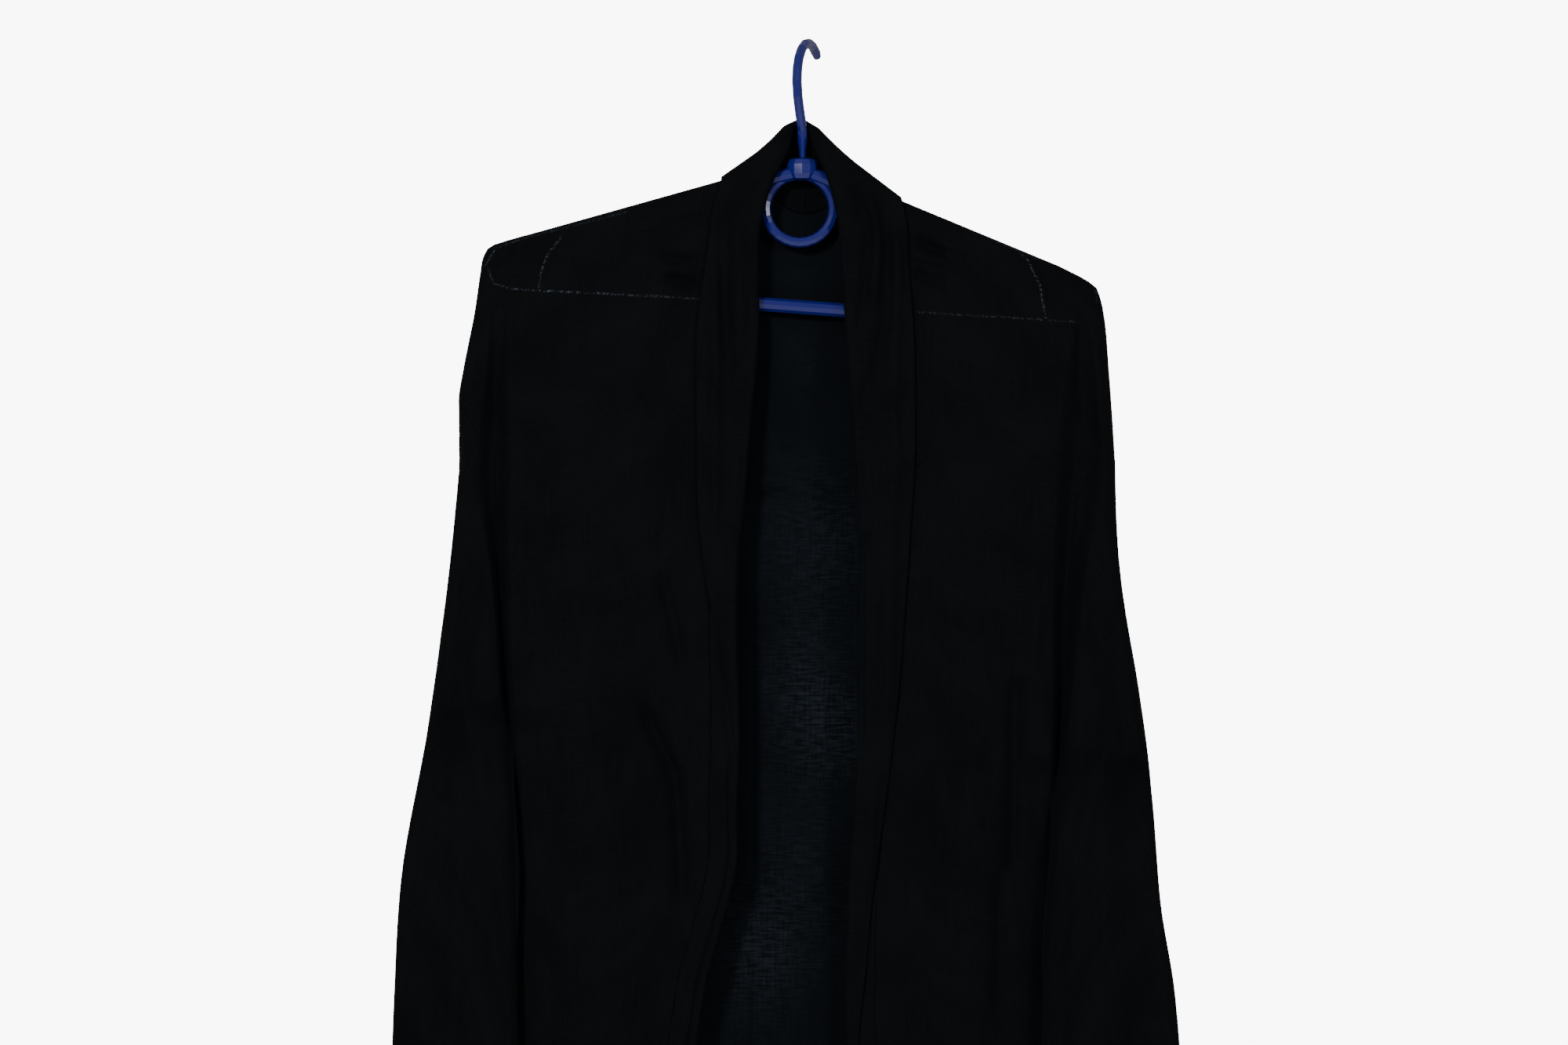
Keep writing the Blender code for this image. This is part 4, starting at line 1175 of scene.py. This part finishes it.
    # Specks of lint, a fibre end about every 60 mm.
    specks = add_node(tree, "ShaderNodeTexVoronoi", {"Vector": mm, "Scale": 0.016, "Randomness": 1.0})
    lint = add_node(
        tree, "ShaderNodeMath", {0: specks.outputs["Distance"], 1: 0.0085}, operation="LESS_THAN"
    ).outputs[0]
    # The dye's tones come first. Then comes painted light: paler patches stand in for light through the
    # thin cloth, and dotted highlights are painted over the hanger's edges. The real specks of lint go
    # last.
    colour = dark
    for share, over in (
        (shade, light),
        (paler, settings.painted_backlight_colour),
        (glint_mask, settings.painted_glint_colour),
        (lint, linear("3C4046")),
    ):
        colour = add_node(
            tree, "ShaderNodeMix", {0: share, 6: colour, 7: over}, data_type="RGBA"
        ).outputs[2]
    tree.links.new(colour, shader.inputs["Base Color"])
    height = add_node(
        tree, "ShaderNodeMath", {0: slubs, 1: 0.9, 2: knit}, operation="MULTIPLY_ADD"
    ).outputs[0]
    strength = 0.55 if reverse else 0.45
    bump = add_node(
        tree, "ShaderNodeBump", {"Height": height, "Strength": strength, "Distance": 0.22 * MM}
    )
    tree.links.new(bump.outputs["Normal"], shader.inputs["Normal"])
    return made


def moulded_polypropylene(name, colour, settings):
    """Polypropylene, injection moulded and left as it came from the mould.

    It gives the eye an even, saturated blue with narrow highlights and a faint ripple.
    """
    finish = {
        "Base Color": colour,
        "Roughness": settings.plastic_roughness,
        "IOR": 1.49,
        "Coat Weight": 0.15,
        "Coat Roughness": 0.2,
    }
    made, tree, shader = fresh_material(name, finish)
    place = add_node(tree, "ShaderNodeTexCoord").outputs["Object"]
    ripple, cloud = [
        add_node(
            tree, "ShaderNodeTexNoise", {"Vector": place, "Scale": scale, "Detail": detail}
        ).outputs["Fac"]
        for scale, detail in ((260.0, 2.0), (55.0, 3.0))
    ]
    worn = add_node(
        tree,
        "ShaderNodeMapRange",
        {
            "Value": cloud,
            "From Min": 0.3,
            "From Max": 0.7,
            "To Min": settings.plastic_roughness - 0.05,
            "To Max": settings.plastic_roughness + 0.08,
        },
    ).outputs["Result"]
    tree.links.new(worn, shader.inputs["Roughness"])
    bump = add_node(tree, "ShaderNodeBump", {"Height": ripple, "Strength": 0.12, "Distance": 0.1 * MM})
    tree.links.new(bump.outputs["Normal"], shader.inputs["Normal"])
    return made


def painted_floor(name, colour):
    """A studio floor in matt white emulsion: pale and even, with no gloss."""
    made, tree, shader = fresh_material(name, {"Base Color": colour, "Roughness": 0.9})
    grain = add_node(tree, "ShaderNodeTexNoise", {"Scale": 40.0, "Detail": 3.0}).outputs["Fac"]
    bump = add_node(tree, "ShaderNodeBump", {"Height": grain, "Strength": 0.03, "Distance": 0.5 * MM})
    tree.links.new(bump.outputs["Normal"], shader.inputs["Normal"])
    return made


def cloth_mesh(name, grid, kind, ring=False, flip=False):
    """A grid of points as a mesh, with the cloth's own flat measure as its UV in metres."""
    rows, columns = grid.shape[:2]
    strips = np.arange(columns if ring else columns - 1)
    r, c = np.meshgrid(np.arange(rows - 1), strips, indexing="ij")
    n = (c + 1) % columns
    above, below = r * columns, (r + 1) * columns
    quads = np.stack([above + c, above + n, below + n, below + c], -1)
    right_of = np.stack([c, c + 1, c + 1, c], -1)
    down_of = np.stack([r, r, r + 1, r + 1], -1)
    across = np.linalg.norm(np.diff(grid, axis=1, append=grid[:, :1]), axis=-1)
    u = np.concatenate([np.zeros((rows, 1)), np.cumsum(across, axis=1)], axis=1) * MM
    along = np.linalg.norm(np.diff(grid, axis=0), axis=-1)
    v = np.concatenate([np.zeros((1, columns)), np.cumsum(along, axis=0)]) * MM
    v = np.concatenate([v, v[:, :1]], axis=1)
    uv = np.stack([u[down_of, right_of], v[down_of, right_of]], -1)
    if flip:
        quads, uv = quads[..., ::-1], uv[..., ::-1, :]
    mesh = bpy.data.meshes.new(name)
    mesh.from_pydata(to_world(grid).reshape(-1, 3).tolist(), [], quads.reshape(-1, 4).tolist())
    layer = mesh.uv_layers.new(name="cloth")
    layer.data.foreach_set("uv", uv.reshape(-1).astype(np.float32))
    x, drop = grid[..., 0].reshape(-1), grid[..., 2].reshape(-1)
    side, near = press_lines(x, drop)
    # On the fronts the marks place the painted glints, and on the back they hold the painted backlight.
    if kind == "front":
        values = np.stack([side, near, np.zeros(x.shape)], axis=1)
    elif kind == "back":
        values = np.stack([np.full(x.shape, NO_GLINT), np.zeros(x.shape), painted_backlight(x, drop)], axis=1)
    else:
        values = np.tile([NO_GLINT, 0.0, 0.0], (len(x), 1))
    marked = mesh.attributes.new("marks", "FLOAT_VECTOR", "POINT")
    marked.data.foreach_set("vector", values.reshape(-1).astype(np.float32))
    mesh.shade_smooth()
    return mesh


def hang_cloth(name, grid, node, flat, area, rests_on, settings, ring=False, flip=False):
    """A piece of the garment: a thin shell in place of its solid, a little paler inside."""
    made = bpy.data.objects.new(name, cloth_mesh(name, grid, node.split("_")[0], ring, flip))
    bpy.context.scene.collection.objects.link(made)
    made.data.materials.append(shared("outside", settings))
    made.data.materials.append(shared("outside" if node.startswith("collar") else "reverse", settings))
    wall = made.modifiers.new("Cloth", "SOLIDIFY")
    wall.thickness = settings.cloth_thickness
    wall.offset = 0
    wall.use_even_offset = False
    wall.material_offset = 1
    wall.material_offset_rim = 0
    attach(made, "root")
    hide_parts(node)
    return made


def shared(kind, settings):
    """The jersey's two faces and the plastic, each made once."""
    names = {
        "outside": "Black viscose jersey, knitted",
        "reverse": "Black viscose jersey, reverse",
        "plastic": "Blue polypropylene, moulded",
    }
    name = names[kind]
    if name in bpy.data.materials:
        return bpy.data.materials[name]
    if kind == "outside":
        return knitted_viscose(name, settings.jersey_dark, settings.jersey_light, settings)
    if kind == "reverse":
        return knitted_viscose(
            name, settings.reverse_dark, settings.reverse_light, settings, reverse=True
        )
    return moulded_polypropylene(name, settings.plastic_colour, settings)


def colour_property(name, description, code):
    """A colour that a user may change, from its hex code."""
    return bpy.props.FloatVectorProperty(
        name=name, description=description, default=linear(code), size=4, subtype="COLOR", min=0, max=1
    )


def amount_property(name, description, default, high=1.0):
    """An amount that a user may change, from 0 up to a limit."""
    return bpy.props.FloatProperty(
        name=name, description=description, default=default, min=0, max=high
    )


def length_property(name, description, default_mm):
    """A length that a user may change, stated in mm and kept in metres."""
    return bpy.props.FloatProperty(
        name=name, description=description, default=default_mm * MM, unit="LENGTH", subtype="DISTANCE"
    )


class JerseySettings(bpy.types.PropertyGroup):
    """What a user may change on the cloth."""

    cloth_thickness: length_property("Thickness", "Thickness of the single cloth", 0.9)
    creases: amount_property("Creases", "How deep the placed creases are", 1.8, 4.0)
    ripples: amount_property("Unevenness", "How uneven the hanging cloth is", 1.0, 3.0)
    jersey_roughness: amount_property("Roughness", "Roughness of the jersey", 0.85)
    jersey_gloss: amount_property("Gloss", "How much light the jersey's fibres reflect", 0.03)
    jersey_sheen: amount_property("Sheen", "Bloom of the nap where the cloth turns away", 0.02)
    jersey_dark: colour_property("Dark dye", "Deepest black of the outside", "07080A")
    jersey_light: colour_property("Light dye", "Palest black of the outside", "0D0F11")
    reverse_dark: colour_property("Dark reverse", "Deepest black of the inside", "080A0D")
    reverse_light: colour_property("Light reverse", "Palest black of the inside", "0E1216")
    # The colour of the painted highlight glints over the hanger's edges.
    painted_glint_colour: colour_property("Painted hanger glints", "Glints over the hanger's edges", "59626E")
    # The colour of the painted backlight: the inside is painted paler where light would come through.
    painted_backlight_colour: colour_property("Painted backlight", "Inside, where light comes through", "2E353D")
    plastic_colour: colour_property("Hanger", "Colour of the hanger's plastic", "131868")
    plastic_roughness: amount_property("Hanger roughness", "Roughness of the hanger", 0.17)


class StudioSettings(bpy.types.PropertyGroup):
    """What a user may change on the stage."""

    floor_drop: length_property("Floor below the rail", "How far the floor is below the hook", 1900)
    floor_colour: colour_property("Floor", "Colour of the floor", "FFFFFF")
    sky: amount_property("Surround", "Strength of the white surround", 0.35, 4.0)
    backdrop: amount_property("Backdrop", "How white the surround looks behind the object", 9.0, 30.0)
    key: amount_property("Key", "Power of the key light in watts", 62.0, 1000.0)
    fill: amount_property("Fill", "Power of the fill light in watts", 20.0, 1000.0)
    camera_distance: length_property("Camera distance", "From the hanger to the camera", 3000)


class CARDIGAN_OT_back(bpy.types.Operator):
    """Hangs the back, one piece from the shoulders to the hem"""

    bl_idname = "cardigan.back"
    bl_label = "Hang the back"

    def execute(self, context):
        settings = context.scene.cardigan_jersey
        grid = back_grid(BACK_DOWN, PANEL_ACROSS, settings)
        arms = ["hanger_arm_right", "hanger_arm_left"]
        hang_cloth("back_cloth", grid, "back", *BACK_CUT, arms, settings)
        return {"FINISHED"}


class CARDIGAN_OT_fronts(bpy.types.Operator):
    """Hangs the two fronts"""

    bl_idname = "cardigan.fronts"
    bl_label = "Hang the fronts"

    def execute(self, context):
        settings = context.scene.cardigan_jersey
        for name, side in SIDES.items():
            grid = front_grid(side, PANEL_DOWN, PANEL_ACROSS, settings)
            node = "front_" + name
            arm = ["hanger_arm_" + name]
            hang_cloth(
                node + "_cloth", grid, node, *FRONT_CUT[name], arm, settings, flip=name == "right"
            )
        return {"FINISHED"}


class CARDIGAN_OT_sleeves(bpy.types.Operator):
    """Hangs the two sleeves from their armholes"""

    bl_idname = "cardigan.sleeves"
    bl_label = "Hang the sleeves"

    def execute(self, context):
        settings = context.scene.cardigan_jersey
        for name, side in SIDES.items():
            grid = sleeve_grid(side, SLEEVE_DOWN, SLEEVE_ACROSS, settings)
            node = "sleeve_" + name
            rests = ["front_" + name + "_cloth", "back_cloth"]
            flip = name == "left"
            hang_cloth(
                node + "_cloth", grid, node, *SLEEVE_CUT[name], rests, settings, ring=True, flip=flip
            )
        return {"FINISHED"}


class CARDIGAN_OT_collar(bpy.types.Operator):
    """Folds the two halves of the collar band round the neck and down the fronts"""

    bl_idname = "cardigan.collar"
    bl_label = "Fold the collar"

    def execute(self, context):
        settings = context.scene.cardigan_jersey
        for name, side in SIDES.items():
            grid = collar_grid(side, COLLAR_DOWN, COLLAR_ACROSS, settings)
            node = "collar_" + name
            rests = ["front_" + name + "_cloth", "back_cloth"]
            hang_cloth(
                node + "_cloth", grid, node, *COLLAR_CUT[name], rests, settings, flip=name == "left"
            )
        return {"FINISHED"}


class CARDIGAN_OT_hanger(bpy.types.Operator):
    """Gives the hanger and its hook their blue plastic"""

    bl_idname = "cardigan.hanger"
    bl_label = "Finish the hanger"

    def execute(self, context):
        settings = context.scene.cardigan_jersey
        plastic = shared("plastic", settings)
        for name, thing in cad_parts.items():
            if name.startswith(("hanger", "hook")):
                for place in thing.material_slots:
                    place.link = "OBJECT"
                    place.material = plastic
        return {"FINISHED"}


class CARDIGAN_OT_studio(bpy.types.Operator):
    """Sets the pale floor, the soft light and the camera"""

    bl_idname = "cardigan.studio"
    bl_label = "Set the studio"

    def execute(self, context):
        studio = context.scene.cardigan_studio
        floor_mesh = bpy.data.meshes.new("studio_floor")
        reach, level = 10.0, -studio.floor_drop
        turns = ((-1, -1), (1, -1), (1, 1), (-1, 1))
        corners = [(reach * across, reach * along, level) for across, along in turns]
        floor_mesh.from_pydata(corners, [], [(0, 1, 2, 3)])
        floor = bpy.data.objects.new("studio_floor", floor_mesh)
        context.scene.collection.objects.link(floor)
        floor.data.materials.append(painted_floor("White emulsion, rolled", studio.floor_colour))
        world = bpy.data.worlds.new("White surround")
        world.use_nodes = True
        tree = world.node_tree
        lit = tree.nodes["Background"]
        lit.inputs["Color"].default_value = (1, 1, 1, 1)
        lit.inputs["Strength"].default_value = studio.sky
        seen = add_node(
            tree, "ShaderNodeBackground", {"Color": (1, 1, 1, 1), "Strength": studio.backdrop}
        )
        direct = add_node(tree, "ShaderNodeLightPath").outputs["Is Camera Ray"]
        both = add_node(
            tree, "ShaderNodeMixShader", {0: direct, 1: lit.outputs[0], 2: seen.outputs[0]}
        ).outputs[0]
        tree.links.new(both, tree.nodes["World Output"].inputs["Surface"])
        context.scene.world = world
        lights = (
            ("key_light", (-1.15, -2.75, 0.75), 0.45, studio.key),
            ("fill_light", (1.9, -2.3, 0.2), 1.0, studio.fill),
        )
        for name, place, size, power in lights:
            data = bpy.data.lights.new(name, "AREA")
            data.shape = "DISK"
            data.size = size
            data.energy = power
            light = bpy.data.objects.new(name, data)
            context.scene.collection.objects.link(light)
            light.location = place
            aim = np.array([-0.017, -0.013, -0.35]) - np.array(place)
            pitch = math.atan2(math.hypot(aim[0], aim[1]), -aim[2])
            light.rotation_euler = (pitch, 0, math.atan2(aim[1], aim[0]) - math.pi / 2)
        camera = bpy.data.objects.new("photo_camera", bpy.data.cameras.new("photo_camera"))
        context.scene.collection.objects.link(camera)
        away = HANGER_Y * MM - studio.camera_distance
        camera.location = (VIEW_CENTRE_X * MM, away, -VIEW_CENTRE_DROP * MM)
        camera.rotation_euler = (math.pi / 2, 0, 0)
        camera.data.sensor_width = 36.0
        camera.data.lens = camera.data.sensor_width * studio.camera_distance / (VIEW_WIDTH * MM)
        camera.data.clip_end = 100.0
        context.scene.camera = camera
        return {"FINISHED"}


OPERATORS = (
    CARDIGAN_OT_back,
    CARDIGAN_OT_fronts,
    CARDIGAN_OT_sleeves,
    CARDIGAN_OT_collar,
    CARDIGAN_OT_hanger,
    CARDIGAN_OT_studio,
)


class CARDIGAN_PT_sidebar(bpy.types.Panel):
    """Lists the cardigan's pieces and their settings"""

    bl_idname = "CARDIGAN_PT_sidebar"
    bl_label = "Cardigan"
    bl_space_type = "VIEW_3D"
    bl_region_type = "UI"
    bl_category = "Cardigan"

    def draw(self, context):
        for settings in (context.scene.cardigan_jersey, context.scene.cardigan_studio):
            box = self.layout.box()
            for name in settings.__annotations__:
                box.prop(settings, name)
        for operator in OPERATORS:
            self.layout.operator(operator.bl_idname)


CLASSES = (JerseySettings, StudioSettings, *OPERATORS, CARDIGAN_PT_sidebar)


def register():
    for made in CLASSES:
        bpy.utils.register_class(made)
    bpy.types.Scene.cardigan_jersey = bpy.props.PointerProperty(type=JerseySettings)
    bpy.types.Scene.cardigan_studio = bpy.props.PointerProperty(type=StudioSettings)


def unregister():
    del bpy.types.Scene.cardigan_studio
    del bpy.types.Scene.cardigan_jersey
    for made in reversed(CLASSES):
        bpy.utils.unregister_class(made)


def main():
    register()
    for operator in OPERATORS:
        group, name = operator.bl_idname.split(".")
        getattr(getattr(bpy.ops, group), name)()


if __name__ == "__main__":
    main()
